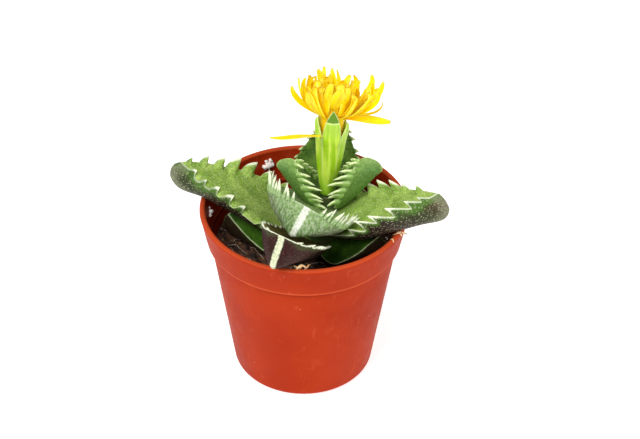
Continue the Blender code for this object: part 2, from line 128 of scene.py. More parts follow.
LEAVES = (
    Leaf("low_left", "low", (5.0, 0.0, 48.3), 178, 15, -7.5,
         29.5, 24.5, 0.54, 9.0, 8.5, 3.5, 0.9, -7, -1.5, 0.0, (0.9, 0.9)),
    Leaf("low_right", "low", (5.0, 0.0, 48.0), -27.5, 17, 20,
         23.3, 21.2, 0.45, 9.0, 6.6, 3.5, 0.3, 16, -0.8, 0.0, (0.9, 0.9)),
    Leaf("front_low", "front", (4.3, -1.2, 46.6), 250, 42, -10.5,
         43.2, 18.4, 0.72, 6.0, 10.2, 3.5, -2.0, -5.5, 0.9, 1.0, (0.8, 0.9),
         (row(9, 1.9, 0.3), row(9, 1.5, 0.3)), (40, 40), (0.3, 0.3), (0.2, 0.2)),
    Leaf("back_low", "back", (5.5, 0.0, 49.5), 66, 17, 0,
         25.0, 18.0, 0.50, 9.0, 8.5, 4.0, 0.4, 0, 0, 0.5, (0.1, 0.1),
         (row(6, 2.0), row(6, 2.0)), (45, 45), (0.15, 0.15), (0.3, 0.3), (0.8, 0.8)),
    Leaf("big_left", "left", (4.7, -0.7, 48.0), 178.5, 43.5, -1,
         49.7, 24.0, 0.32, 9.0, 9.7, 4.2, 2.3, -28, -4.7, 0.2, (0.3, 0.1),
         (((0.913, 2.7), (0.839, 2.4), (0.760, 3.2), (0.672, 3.7), (0.581, 3.0), (0.44, 2.0)),
          ((0.941, 1.4), (0.848, 2.6), (0.747, 3.3), (0.656, 4.2), (0.550, 4.3), (0.43, 3.2), (0.30, 2.2))),
         (95, 70), (0.13, -0.03), (1.8, 0.0), (1.1, 0.55)),
    Leaf("big_right", "right", (3.8, -1.3, 55.6), -29.5, 28, 12,
         43.7, 20.2, 0.42, 9.0, 10.2, 3.5, 0.8, -0.7, 5.6, 0.0, (0.15, 0.6),
         (((0.822, 2.3), (0.686, 2.4), (0.595, 4.1), (0.482, 4.1), (0.38, 3.4), (0.27, 2.4)),
          ((0.912, 2.6), (0.851, 3.9), (0.750, 5.1), (0.641, 5.4), (0.553, 5.8), (0.45, 3.4))),
         (90, 75), (0.0, 0.27), (0.2, 0.5), (0.65, 1.35)),
    Leaf("front_high", "pale", (4.4, 2.3, 60.4), 249.3, 24.8, -14,
         32.8, 28.2, 0.3, 9.9, 9.8, 3.5, -1.0, 23.7, 5.0, 1.0, (0.3, 0.3),
         (row(17, 4.5, 0.24), row(17, 4.8, 0.24)), (70, 70), (0.05, 0.05), thorns=LONG_THORNS),
    Leaf("back_high", "back", (6.4, 1.5, 56.5), 94, 35, 12,
         32.0, 22.5, 0.37, 9.0, 8.5, 4.0, 0.5, 9, -5.5, 0.3, (0.2, 0.2),
         (row(8, 2.2), row(8, 1.6)), (40, 40), (0.1, 0.1), (0.3, 0.3), (0.6, 0.6)),
    Leaf("inner_left", "inner", (7.0, 0.6, 60.3), 172, 51, -2,
         19.6, 10.8, 0.30, 7.0, 6.8, 3.7, 1.2, 19, 1.7, 0.2, (0.8, 0.8),
         (row(7, 5.2, 0.12), row(6, 2.6)), (62, 62), (0.05, 0.3), thorns=HOOKED_THORNS),
    Leaf("inner_right", "inner", (9.1, 0.8, 61.2), -4, 74.5, 4,
         19.0, 9.2, 0.30, 7.0, 8.5, 3.5, 2.7, -14.5, -1.8, 0.0, (0.8, 0.8),
         (row(6, 2.4), row(7, 5.4, 0.12)), (62, 62), (0.2, 0.0), thorns=HOOKED_THORNS),
)

KEEL_FULL_AT = 0.8
KEEL_FULL = 0.93
# The controls of each leaf's margins and keel, as shares along it
MARGIN_CONTROLS = np.array((0.0, 0.2, 0.4, 0.58, 0.72, 0.82, 0.89, 0.945, 0.985, 1.0))
KEEL_CONTROLS = (
    # share of the length, share of the chin, share of the depth
    (0.0, 0.0, None),
    (0.2, 0.0, None),
    (0.4, 0.0, None),
    (0.6, 0.0, None),
    (0.78, 0.1, KEEL_FULL),
    (0.92, 0.6, 1.0),
    (0.985, 1.0, 0.77),
    (1.0, 1.15, 0.45),
    (1.0, 0.85, 0.15),
    (1.0, 0.0, 0.0),
)
FAR = 9.0
STATIONS = 260
FACE_STEPS = 24
FLANK_STEPS = 16
FLAT_FLANK = 1.25
ROUND_FLANK = 2.0
FLATTENS = 1.6
FLANK_SPACING = 1.3
DISH = 0.07
TOOTH_REACH = 1.9
SAW_FAR = 0.75
SAW_NEAR = 0.26
SAW_HOOK = 0.15
SAW_FULLNESS = 1.15
SINK_REACH = 2.4
SINK_FADE = 1.5
# Shares of the margin before its first tooth and past its last over which it sinks
SINK_FOOT = 0.1
SINK_PAST = 0.04
SINK_END = 0.06
THORN_RINGS = 14
THORN_SIDES = 12
THORN_STRAY = 9
THORN_ROOT = 0.3
THORN_TIP = 0.06
THORN_FLARE, THORN_FLARE_REACH = 0.5, 0.12
THORN_FULLNESS = 1.9
WAVE_SIZE = 7.0
WAVE_DEPTH = 0.35
WAVE_APART = 9.1
WAVE_RISE = 3
SHARP_TAPER = 1.45
BLUNT_TAPER = (2.2, 0.62)


class Look(NamedTuple):
    """The colours of one kind of leaf, as screen values, and distances in mm from its margin and keel."""

    top: tuple
    top_shade: tuple
    top_dot: tuple
    top_dots: float
    flank: tuple
    # foot is painted shade, laid on the flanks near the stem where the leaves crowd
    foot: tuple
    deep: tuple
    tip: tuple
    deep_from: float
    deep_to: float
    flank_dot: tuple
    flank_dots: float
    edge: tuple
    edge_width: float
    thorn: tuple
    # keel is a pale band along the keel, partly its own colour and partly a painted highlight along the
    # outline
    keel: tuple
    keel_width: float
    keel_core: float
    streaks: float
    roughness: float


LEFT_LOOK = Look(
    top=(170, 202, 94), top_shade=(130, 166, 60), top_dot=(234, 242, 190), top_dots=0.6,
    flank=(78, 116, 40), foot=(42, 24, 22), deep=(46, 56, 26), tip=(56, 66, 26), deep_from=0.8,
    deep_to=4.0, flank_dot=(172, 174, 134), flank_dots=0.75, edge=(236, 242, 214), edge_width=0.58,
    thorn=(160, 190, 110), keel=(150, 152, 124), keel_width=4.2, keel_core=0.1, streaks=0.0,
    roughness=0.45,
)
LOOKS = {
    "left": LEFT_LOOK,
    "right": LEFT_LOOK._replace(deep=(54, 62, 32), tip=(80, 34, 36)),
    "front": LEFT_LOOK._replace(
        top=(112, 104, 48), top_shade=(84, 62, 34), top_dot=(150, 146, 92), top_dots=0.3,
        flank=(60, 62, 30), foot=(36, 18, 16), deep=(48, 12, 14), tip=(50, 13, 17), deep_from=0.4,
        deep_to=2.2, flank_dot=(120, 84, 80), flank_dots=0.35, edge_width=0.62, keel=(222, 228, 190),
        keel_width=1.05, keel_core=0.6,
    ),
    "pale": LEFT_LOOK._replace(
        top=(140, 180, 80), top_shade=(104, 142, 58), flank=(128, 164, 92), foot=(92, 112, 62),
        deep=(98, 136, 70), tip=(112, 146, 76), deep_to=5.0, flank_dot=(186, 202, 152), flank_dots=0.3,
        keel=(240, 246, 226), keel_width=1.1, keel_core=0.6, streaks=0.32, roughness=0.5,
        thorn=(150, 186, 108),
    ),
    # The inner leaves' keel colour is a painted rim highlight along their outline
    "inner": LEFT_LOOK._replace(
        top=(116, 152, 66), top_shade=(84, 120, 42), top_dots=0.3, flank=(142, 180, 94),
        foot=(108, 146, 68), deep=(116, 158, 86), tip=(166, 198, 116), flank_dot=(156, 190, 126),
        flank_dots=0.25, edge=(226, 238, 184), edge_width=0.46, thorn=(132, 168, 80), keel=(160, 190, 110),
        keel_width=0.5, keel_core=0.6, roughness=0.4,
    ),
    "back": LEFT_LOOK._replace(
        top=(88, 124, 38), top_shade=(54, 88, 20), top_dot=(132, 162, 84), top_dots=0.35,
        flank=(70, 106, 36), foot=(50, 66, 30), deep=(52, 84, 30), tip=(70, 106, 36),
        flank_dot=(112, 142, 80), flank_dots=0.3, edge=(200, 214, 154), edge_width=0.5, keel=(110, 140, 76),
        keel_width=0.4, keel_core=0.6,
    ),
    "low": LEFT_LOOK._replace(
        top=(76, 122, 30), top_shade=(46, 84, 18), top_dot=(96, 136, 54), top_dots=0.25,
        flank=(52, 52, 28), foot=(42, 30, 22), deep=(46, 32, 22), tip=(46, 32, 22), deep_from=0.5,
        deep_to=1.8, flank_dot=(56, 50, 38), flank_dots=0.3, edge=(190, 208, 158), edge_width=0.45,
        keel=(84, 90, 60), keel_width=0.4, keel_core=0.6, roughness=0.35,
    ),
}

STEM_RINGS, STEM_SIDES = 40, 32
STEM_UNEVEN = 0.04
STEM_STATIONS = (
    # centre x, y, z and radius in mm
    (5.0, 0.0, 33.0, 3.6),
    (5.0, 0.0, 43.0, 4.5),
    (5.2, 0.0, 50.0, 5.0),
    (6.2, 0.0, 57.5, 4.6),
    (6.6, 0.4, 61.0, 2.6),
    (6.8, 0.7, 63.65, 2.0),
)

# Flower, in mm along an axis that leans a little back and to the right
FLOWER_FOOT = Vector((6.8, 0.7, 64.35)) * MM
FLOWER_LEAN_BACK = radians(10)
FLOWER_LEAN_RIGHT = radians(3.5)
CALYX_TUBE = (
    # outer radius and height up to where the sepals part
    (1.9, 0.0),
    (2.35, 3.0),
    (3.2, 7.0),
    (3.95, 12.0),
    (4.45, 16.0),
    (4.8, 20.0),
)
TUBE_RINGS, TUBE_SIDES = 30, 120
TUBE_RIDGE = 0.16
RIDGE_FADE = 8
RIDGE_INSET = 0.1
MOUTH_ROUND = 0.2
CUP_FLOOR = 13.5
CALYX_WALL = 0.9
SEPALS = 5
FRONT_SEPAL_AZIMUTH = -90
SEPAL_TIPS = (30.0, 25.0, 26.2, 26.2, 26.4)
SEPAL_FROM = 15.0
SEPAL_SUNK_ROWS, SEPAL_FREE_ROWS, SEPAL_COLUMNS = 10, 30, 19
SEPAL_SINK, SEPAL_PROUD = 0.5, 0.06
SEPAL_KEEL, SEPAL_KEEL_WIDTH = 0.3, 0.3
SEPAL_THICK, SEPAL_TIP, SEPAL_THINS = 1.0, 0.2, 0.6
SEPAL_SHAPE = (
    # share of the height from where the sepals part to the tip, radius added and half angle in degrees
    (0.0, 0.0, 36.0),
    (0.25, 0.22, 33.0),
    (0.5, 0.4, 27.0),
    (0.75, 0.4, 18.0),
    (0.92, 0.15, 8.0),
    (1.0, -0.1, 1.0),
)
PETAL_THICK = 0.14
PETAL_STATIONS = 26
PETAL_CLIMB = 6
CROWDED_RADIUS = 2.6
PETAL_FOOT = 1.0
PETAL_NECK = 0.45
PETAL_WIDENS = 0.9
PETAL_THINS = 0.7
PETAL_CUP = 0.28
PETAL_LEAST = 0.12
PETAL_COLUMNS = 6


# Mesh helpers


def curve(values, share):
    """A smooth curve through evenly spaced numbers, read at shares from 0 to 1."""
    values = np.asarray(values, float)
    spans = len(values) - 1
    place = np.clip(share, 0, 1) * spans
    start = np.minimum(place.astype(int), spans - 1)
    f = place - start
    before, here, there, after = (values[np.clip(start + step, 0, spans)] for step in (-1, 0, 1, 2))
    return 0.5 * (
        2 * here
        + (there - before) * f
        + (2 * before - 5 * here + 4 * there - after) * f**2
        + (3 * here - before - 3 * there + after) * f**3
    )


def turns(count):
    """Angles spread evenly round a circle."""
    return np.linspace(0, 2 * pi, count, endpoint=False)


def round_points(reach, turn, height):
    """Points round an upright axis, at radii, angles and heights."""
    return np.stack(np.broadcast_arrays(reach * np.cos(turn), reach * np.sin(turn), height), -1)


def grid_faces(rows, columns):
    """The four-sided faces between a grid's rings of points."""
    here = np.arange(columns)
    after = (here + 1) % columns
    ring = np.stack([here, after, columns + after, columns + here], 1)
    return (np.arange(rows - 1)[:, None, None] * columns + ring).reshape(-1, 4).tolist()


def tube(grid, tip=None):
    """Points and faces of a tube through a grid's rings, capped at both ends, or with a tip at the last."""
    rows, columns = grid.shape[:2]
    points = grid.reshape(-1, 3).tolist()
    faces = [*grid_faces(rows, columns), list(range(columns))[::-1]]
    last = list(range((rows - 1) * columns, rows * columns))
    if tip is None:
        return points, [*faces, last]
    faces += [[here, there, len(points)] for here, there in zip(last, last[1:] + last[:1])]
    return [*points, list(tip)], faces


class Gather:
    """Collects many small bodies, with a value or two for each point, into one mesh."""

    def __init__(self):
        self.points = []
        self.faces = []
        self.values = {}

    def add(self, points, faces, **values):
        first = len(self.points)
        self.points.extend(points)
        self.faces.extend([first + corner for corner in face] for face in faces)
        for key, value in values.items():
            spread = np.broadcast_to(np.ravel(value), (len(points),))
            self.values.setdefault(key, []).extend(spread.tolist())

    def piece(self, name, slot, nodes, skin):
        finish_piece(name, self.points, self.faces, slot, nodes, skin, self.values)


def add_object(name, data):
    thing = bpy.data.objects.new(name, data)
    bpy.context.scene.collection.objects.link(thing)
    return thing


def finish_piece(name, points, faces, slot, nodes, skin, values=None):
    """A mesh object with its material and point values, standing for the solids that it replaces."""
    mesh = bpy.data.meshes.new(name)
    mesh.from_pydata(points, [], faces)
    for key, numbers in (values or {}).items():
        mesh.attributes.new(key, "FLOAT", "POINT").data.foreach_set("value", np.asarray(numbers, np.float32))
    mesh.shade_smooth()
    mesh.materials.append(skin)
    piece = add_object(name, mesh)
    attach(piece, BODY)
    if nodes:
        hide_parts(*nodes)


# Material helper


class Shade:
    """Builds one material's nodes on its Principled shader."""

    def __init__(self, name):
        self.material = bpy.data.materials.new(name)
        self.material.use_nodes = True
        self.tree = self.material.node_tree
        self.skin = self.tree.nodes["Principled BSDF"]
        self.place = self.tree.nodes.new("ShaderNodeTexCoord").outputs["Object"]

    def feed(self, socket, value):
        if isinstance(value, bpy.types.NodeSocket):
            self.tree.links.new(value, socket)
        elif isinstance(value, tuple) and len(value) == 3 and socket.type == "RGBA":
            socket.default_value = (*value, 1.0)
        else:
            socket.default_value = value

    def node(self, kind, **inputs):
        """A new node with some of its inputs fed."""
        node = self.tree.nodes.new("ShaderNode" + kind)
        for key, value in inputs.items():
            self.feed(node.inputs[key], value)
        return node

    def attribute(self, name):
        node = self.node("Attribute")
        node.attribute_name = name
        return node.outputs["Fac"]

    def noise(self, grain, detail=2.0, stretch=(1.0, 1.0, 1.0), distortion=0.0):
        """Cloudy values about 0.5, with a grain in mm."""
        place = self.node("Mapping", Vector=self.place, Scale=stretch).outputs["Vector"]
        inputs = {"Vector": place, "Scale": 1 / (grain * MM), "Detail": detail, "Distortion": distortion}
        return self.node("TexNoise", **inputs).outputs["Fac"]

    def cells(self, grain):
        """The distance to scattered points that lie about a grain in mm apart."""
        return self.node("TexVoronoi", Vector=self.place, Scale=1 / (grain * MM)).outputs["Distance"]

    def level(self):
        """The height in mm."""
        return self.maths("DIVIDE", self.node("SeparateXYZ", Vector=self.place).outputs["Z"], MM)

    def maths(self, operation, first, second):
        node = self.node("Math")
        node.operation = operation
        self.feed(node.inputs[0], first)
        self.feed(node.inputs[1], second)
        return node.outputs["Value"]

    def times(self, first, second):
        return self.maths("MULTIPLY", first, second)

    def ramp(self, value, low, high, to_low=0.0, to_high=1.0):
        """A smooth step from one value to another as the input goes from low to high."""
        node = self.node("MapRange")
        node.interpolation_type = "SMOOTHSTEP"
        for socket, number in zip(node.inputs, (value, low, high, to_low, to_high)):
            self.feed(socket, number)
        return node.outputs["Result"]

    def mix(self, share, first, second):
        """One colour going over into another by a share."""
        node = self.node("Mix")
        node.data_type = "RGBA"
        for key, value in (("Factor", share), ("A", first), ("B", second)):
            self.feed(node.inputs[key], value)
        return node.outputs["Result"]

    def over(self, body, colour, value, low, high, most=1.0):
        """A screen colour laid over a body as a value goes from low to high, up to a share."""
        return self.mix(self.ramp(value, low, high, 0.0, most), body, tone(*colour))

    def relief(self, height, depth):
        """Bump from a height of 0 to 1, with its depth in mm."""
        self.set(Normal=self.node("Bump", Strength=1.0, Distance=depth * MM, Height=height).outputs["Normal"])

    def set(self, **values):
        for key, value in values.items():
            self.feed(self.skin.inputs[key.replace("_", " ")], value)

    def soften(self, weight, radius):
        """Light that enters the skin and comes out again within a radius in mm."""
        self.set(Subsurface_Weight=weight, Subsurface_Radius=radius, Subsurface_Scale=MM)


# Leaves


def half_width(leaf, share):
    """Half the upper face's width at shares of the leaf's length."""
    rise = np.sin(np.clip(share / leaf.widest, 0, 1) * pi / 2)
    wide = (leaf.foot_width + (leaf.width - leaf.foot_width) * rise) / 2
    taper = np.clip((share - leaf.widest) / (1 - leaf.widest), 0, 1)
    sharp = 1 - taper**SHARP_TAPER
    blunt = (1 - taper ** BLUNT_TAPER[0]) ** BLUNT_TAPER[1]
    narrow = leaf.width / 2 * (sharp + (blunt - sharp) * leaf.bluntness)
    return np.where(share < leaf.widest, wide, narrow)


def keel_line(leaf, share):
    """Length along the leaf and depth below its upper face of the keel."""
    lengths, depths = [], []
    for along, chin, deep in KEEL_CONTROLS:
        lengths.append(along * leaf.length + chin * leaf.chin)
        if deep is None:
            rise = sin(along / KEEL_FULL_AT * pi / 2)
            depths.append(leaf.foot_depth + (KEEL_FULL * leaf.depth - leaf.foot_depth) * rise)
        else:
            depths.append(deep * leaf.depth)
    return curve(lengths, share), curve(depths, share)


def pose_leaf(leaf, local):
    """Points of the straight leaf, in mm, moved to where the curled and posed leaf has them, in metres."""
    turn = radians(leaf.curl) / leaf.length
    along, across, up = local[..., 0], local[..., 1], local[..., 2]
    angle = turn * along
    if abs(turn) > 1e-6:
        x, z = np.sin(angle) / turn, (1 - np.cos(angle)) / turn
    else:
        x, z = along, np.zeros_like(along)
    aside = across + leaf.sweep * (along / leaf.length) ** 2
    bent = np.stack([x - up * np.sin(angle), aside, z + up * np.cos(angle)], -1)
    pose = Matrix.Rotation(radians(leaf.azimuth), 3, "Z")
    pose @= Matrix.Rotation(-radians(leaf.pitch), 3, "Y")
    pose @= Matrix.Rotation(radians(leaf.roll), 3, "X")
    return (np.array(leaf.foot) + bent @ np.array(pose).T) * MM


def spread_steps(count):
    """Shares from 0 to 1 that lie close together at both ends."""
    return (1 - np.cos(np.linspace(0, pi, count + 1))) / 2


def leaf_grid(leaf):
    """The straight leaf's points in mm as rows of rings, with the margin's share of the length and its half
    width at each row.
    """
    share = np.linspace(0, 1, STATIONS + 1)[:-1]
    margin = curve(MARGIN_CONTROLS, share)
    half = half_width(leaf, margin)[:, None]
    margin_at = (margin * leaf.length)[:, None]
    keel_at, depth = (line[:, None] for line in keel_line(leaf, share))
    power = (ROUND_FLANK + (FLAT_FLANK - ROUND_FLANK) * np.minimum(share * FLATTENS, 1))[:, None]
    side = 1 - 2 * spread_steps(FACE_STEPS)[None, :]
    top = np.stack([
        np.broadcast_to(margin_at, (STATIONS, FACE_STEPS + 1)),
        half * side,
        -DISH * half * (1 - side**2),
    ], -1)
    turn = (np.linspace(0, 1, FLANK_STEPS + 1)[None, 1:] ** FLANK_SPACING) * pi / 2
    down = np.sin(turn) ** (2 / power)
    out = np.cos(turn) ** (2 / power)
    flank = np.stack([margin_at + (keel_at - margin_at) * down, out * half, -depth * down], -1)
    right = flank * np.array((1, -1, 1))
    grid = np.concatenate([top, right, flank[:, -2::-1]], 1)
    return grid, margin, half[:, 0]


def add_saws(leaf, grid, margin, half):
    """Draws the margins out into saw teeth: each rises slowly from the tip's side and drops at the stem's."""
    teeth = np.zeros(grid.shape[:2])
    back = np.array((-1.0, 0.0, 0.0))
    sides = zip((1, -1), (0, FACE_STEPS), leaf.teeth, leaf.sink, leaf.crown, leaf.rise, leaf.lean)
    for side, crease, pairs, sink, crown, rise, lean in sides:
        if not pairs:
            continue
        steps = np.linalg.norm(np.diff(np.concatenate([grid, grid[:, :1]], 1), axis=1), axis=-1)
        ahead = np.concatenate([np.zeros((len(grid), 1)), np.cumsum(np.roll(steps, -crease, 1), 1)], 1)
        distance = np.roll(np.minimum(ahead[:, :-1], ahead[:, -1:] - ahead[:, :-1]), crease, 1)
        edge = np.stack([margin * leaf.length, half], -1)
        reach = np.concatenate([[0], np.cumsum(np.linalg.norm(np.diff(edge, axis=0), axis=1))])
        lift = np.zeros(distance.shape)
        for share, size in pairs:
            past = (reach - np.interp(share, margin, reach))[:, None]
            past = np.where(past > 0, past / (SAW_FAR * size), -past / (SAW_NEAR * size))
            hump = np.clip(1 - np.hypot(past, distance / TOOTH_REACH) ** SAW_FULLNESS, 0, 1)
            lift = np.maximum(lift, size * hump**crown)
        shares, sizes = zip(*pairs)
        rise = radians(rise)
        grow = np.array((0.0, side * cos(rise), sin(rise)))
        share = lift / max(sizes)
        hook = lift * (lean + SAW_HOOK * share**2)
        toothed = np.clip((margin - min(shares)) / SINK_FOOT + 1, 0, 1)
        toothed *= np.clip((max(shares) + SINK_PAST - margin) / SINK_END, 0, 1)
        dip = sink * toothed[:, None] * np.clip(1 - distance / SINK_REACH, 0, 1) ** SINK_FADE
        grid = grid + (lift - dip)[..., None] * grow + hook[..., None] * back
        teeth = np.maximum(teeth, share)
    return grid, teeth


def thorn(leaf, side, share, size):
    """A slender tooth on the margin that arches back to the stem, as rings of points in mm."""
    foot, thick, arch = leaf.thorns
    along, out = np.array((1.0, 0.0, 0.0)), np.array((0.0, side, 0.0))
    rise = radians(leaf.rise[side < 0] + THORN_STRAY * sin(61 * share))
    lean = leaf.lean[side < 0] + radians(THORN_STRAY * sin(47 * share))
    grow = out * cos(rise) + np.array((0.0, 0.0, sin(rise)))
    reach = np.linspace(-THORN_ROOT, 1, THORN_RINGS)
    outer = np.clip(reach, 0, 1)
    turn = lean + arch * outer[:, None]
    way = grow * np.cos(turn) - along * np.sin(turn)
    wide = grow * np.sin(turn) + along * np.cos(turn)
    margin = float(half_width(leaf, np.array(share)))
    root = np.array((share * leaf.length, side * (margin - THORN_ROOT), 0.0))
    path = root + np.cumsum(way, 0) * size * (1 + THORN_ROOT) / THORN_RINGS - THORN_ROOT * size * way[0]
    narrow = THORN_TIP + (1 - THORN_TIP) * (1 - outer**THORN_FULLNESS)
    narrow += THORN_FLARE * np.exp(-((outer / THORN_FLARE_REACH) ** 2))
    angle = turns(THORN_SIDES)[None, :, None]
    across = np.cross(way, wide)
    ring = wide[:, None] * foot * np.cos(angle) + across[:, None] * thick * np.sin(angle)
    grid = path[:, None] + ring * narrow[:, None, None]
    tall = np.broadcast_to(outer[:, None], grid.shape[:2])
    rib = np.broadcast_to(np.abs(np.cos(angle[..., 0])), grid.shape[:2])
    return grid, tall, rib


def crease_distance(points, creases):
    """Each point's distance in mm to the nearest of some points."""
    tree = kdtree.KDTree(len(creases))
    for index, point in enumerate(creases):
        tree.insert(point, index)
    tree.balance()
    return np.array([tree.find(point)[2] for point in points]) / MM


def wave_leaf(leaf, grid, number):
    """A slight unevenness of the fleshy surface, in mm."""
    apart = Vector((number * WAVE_APART, 0, 0))
    uneven = [noise.noise(Vector(point) / WAVE_SIZE + apart) for point in grid.reshape(-1, 3)]
    uneven = np.reshape(uneven, grid.shape[:2])
    along = np.clip(grid[..., 0] / leaf.length * WAVE_RISE, 0, 1)
    grid[..., 2] += WAVE_DEPTH * uneven * along
    return grid


def make_leaf(leaf, number, skin):
    """One leaf with its margins' teeth, and the distances and shares that its skin reads."""
    grid, margin, half = leaf_grid(leaf)
    teeth = np.zeros(grid.shape[:2])
    if not leaf.thorns:
        grid, teeth = add_saws(leaf, grid, margin, half)
    placed = pose_leaf(leaf, wave_leaf(leaf, grid, number))
    tip = pose_leaf(leaf, np.array((leaf.length, 0.0, 0.0)))
    points, faces = tube(placed, tip)
    keel = FACE_STEPS + FLANK_STEPS
    margins = np.concatenate([placed[:, 0], placed[:, FACE_STEPS], tip[None]])
    columns = np.arange(placed.shape[1])
    on_left = (columns < FACE_STEPS / 2) | (columns > keel)
    # Values on the rings and at the tip
    values = {
        "upper_face": (columns <= FACE_STEPS, 1.0),
        "along": (np.linspace(0, 1, STATIONS)[:, None], 1.0),
        "tooth": (teeth, 0.0),
        "pale": (np.where(on_left, *leaf.pale), leaf.pale[0]),
    }
    for key, (value, last) in values.items():
        values[key] = [*np.broadcast_to(value, teeth.shape).ravel(), last]
    gather = Gather()
    gather.add(points, faces, edge_distance=crease_distance(points, margins),
               keel_distance=crease_distance(points, placed[:, keel]), thorn=0.0, rib=0.0, **values)
    for side, pairs in zip((1, -1), leaf.teeth if leaf.thorns else ()):
        for share, size in pairs:
            grid, tall, rib = thorn(leaf, side, share, size)
            gather.add(*tube(pose_leaf(leaf, grid)), edge_distance=FAR, keel_distance=FAR, upper_face=0.0,
                       along=share, tooth=tall, pale=0.0, thorn=1.0, rib=rib)
    gather.piece("leaf_" + leaf.name, "leaf", ("rosette",), skin)


def leaf_skin(name, look):
    """Fleshy leaf skin: dots, pale margins, a pale keel band that is partly a painted highlight, a darker
    underside and painted shade on the flanks near the stem.
    """
    colours = {key: tone(*value) for key, value in look._asdict().items() if isinstance(value, tuple)}
    look = look._replace(**colours)
    shade = Shade("leaf_" + name)
    names = ("edge_distance", "keel_distance", "upper_face", "along", "tooth", "pale", "thorn", "rib")
    edge, keel, upper, along, tooth, pale, thorny, rib = (shade.attribute(key) for key in names)
    cloud = shade.noise(5.0, 3.0)
    grain = shade.noise(0.7, 3.0)
    fine = shade.ramp(shade.cells(0.5), 0.45, 0.15)
    dots = shade.ramp(shade.cells(0.75), 0.4, 0.14)
    top = shade.mix(shade.ramp(cloud, 0.35, 0.65), look.top_shade, look.top)
    top = shade.mix(shade.times(fine, look.top_dots), top, look.top_dot)
    depth = shade.maths("ADD", edge, shade.ramp(cloud, 0.25, 0.75, -1.2, 1.2))
    deep = shade.times(shade.ramp(depth, look.deep_from, look.deep_to),
                       shade.ramp(along, 0.0, 0.35, 0.5, 1.0))
    flank = shade.mix(deep, look.flank, shade.mix(shade.ramp(along, 0.5, 0.9), look.deep, look.tip))
    # The pale band along the keel: partly the keel's own colour, partly a painted highlight along the leaf's
    # outline
    keel = shade.maths("ADD", keel, shade.ramp(grain, 0.3, 0.7, -0.1, 0.1))
    keel_wide = shade.ramp(along, 0.94, 1.0, look.keel_width * 1.2, look.keel_width * 0.75)
    under = shade.times(shade.ramp(keel, keel_wide, shade.times(keel_wide, look.keel_core)),
                        shade.ramp(along, 0.3, 0.6, 0.0, 0.55 + 0.45 * (look.keel_core > 0.5)))
    if look.keel_core < 0.5:
        under = shade.times(under, shade.ramp(along, 0.96, 0.8))
    flank = shade.mix(under, flank, look.keel)
    # Painted shade on the flanks near the stem, where the leaves crowd and shade each other
    shaded = shade.times(shade.ramp(along, 0.6, 0.38), shade.ramp(edge, 0.5, 2.0))
    flank = shade.mix(shaded, flank, look.foot)
    flank = shade.mix(shade.times(dots, look.flank_dots), flank, look.flank_dot)
    body = shade.mix(upper, flank, top)
    if look.streaks:
        streak = shade.noise(0.7, 3.0, (1.0, 1.0, 0.22))
        body = shade.mix(shade.ramp(streak, 0.4, 0.62, 0.0, look.streaks), body, look.edge)
    body = shade.mix(shade.ramp(grain, 0.3, 0.7, 0.0, 0.36), body, (0.02, 0.03, 0.01))
    body = shade.mix(thorny, body, shade.mix(shade.ramp(tooth, 0.0, 0.3), look.flank, look.thorn))
    pale = shade.maths("MAXIMUM", pale, shade.ramp(along, 0.9, 0.97, 0.0, 0.6))
    wide = shade.times(shade.ramp(grain, 0.3, 0.7, 0.7, 1.2), look.edge_width)
    wide = shade.times(wide, shade.ramp(tooth, 0.2, 0.9, 0.9, 2.2))
    rim = shade.ramp(shade.maths("DIVIDE", edge, wide), 1.0, 0.35)
    rim = shade.times(rim, shade.maths("MAXIMUM", shade.ramp(tooth, 0.25, 0.65), pale))
    ribs = shade.times(shade.ramp(rib, 0.45, 0.8), shade.ramp(tooth, 0.05, 0.3, 0.2, 1.0))
    ribs = shade.times(shade.maths("MAXIMUM", ribs, shade.ramp(tooth, 0.45, 0.75)), thorny)
    body = shade.mix(shade.maths("MAXIMUM", rim, ribs), body, look.edge)
    shade.set(Base_Color=body, Roughness=shade.ramp(grain, 0.2, 0.8, look.roughness, look.roughness + 0.15))
    shade.set(Specular_IOR_Level=0.12)
    shade.relief(shade.maths("ADD", shade.mix(upper, dots, fine), grain), 0.09)
    shade.soften(0.06, (0.6, 1.0, 0.3))
    return shade.material


def make_stem(skin):
    rings = []
    turn = turns(STEM_SIDES)
    for x, y, z, radius in zip(*(curve(line, np.linspace(0, 1, STEM_RINGS)) for line in zip(*STEM_STATIONS))):
        rough = radius * (1 + STEM_UNEVEN * np.sin(5 * turn + z))
        rings.append((round_points(rough, turn, 0.0) + (x, y, z)) * MM)
    finish_piece("stem", *tube(np.array(rings)), "leaf", ("rosette",), skin)


def stem_skin():
    shade = Shade("stem")
    cloud = shade.noise(2.0, 3.0)
    shade.set(Base_Color=shade.mix(shade.ramp(cloud, 0.3, 0.7), tone(66, 92, 40), tone(84, 86, 48)))
    shade.set(Roughness=0.6)
    shade.relief(cloud, 0.1)
    return shade.material


# Flower


def flower_pose():
    """The matrix from the flower's axes to the scene."""
    lean = Euler((-FLOWER_LEAN_BACK, FLOWER_LEAN_RIGHT, 0)).to_matrix().to_4x4()
    return np.array(Matrix.Translation(FLOWER_FOOT) @ lean)


def posed(pose, points):
    """Points in mm of the flower's own axes, in metres where the flower stands."""
    points = np.asarray(points, float) * MM
    return points @ pose[:3, :3].T + pose[:3, 3]


def around(azimuth):
    """The matrix of a turn round the flower's axis."""
    return np.array(Matrix.Rotation(radians(azimuth), 3, "Z"))


def sheet_grid(outer, inner):
    """A closed thin body from its outer and inner grids of points, as rings that end in an edge."""
    return np.concatenate([outer, inner[:, ::-1]], 1)


def tube_reach(heights):
    """Outer radius in mm of the calyx tube at heights above its foot."""
    radii, levels = zip(*CALYX_TUBE)
    return np.interp(heights, levels, radii)


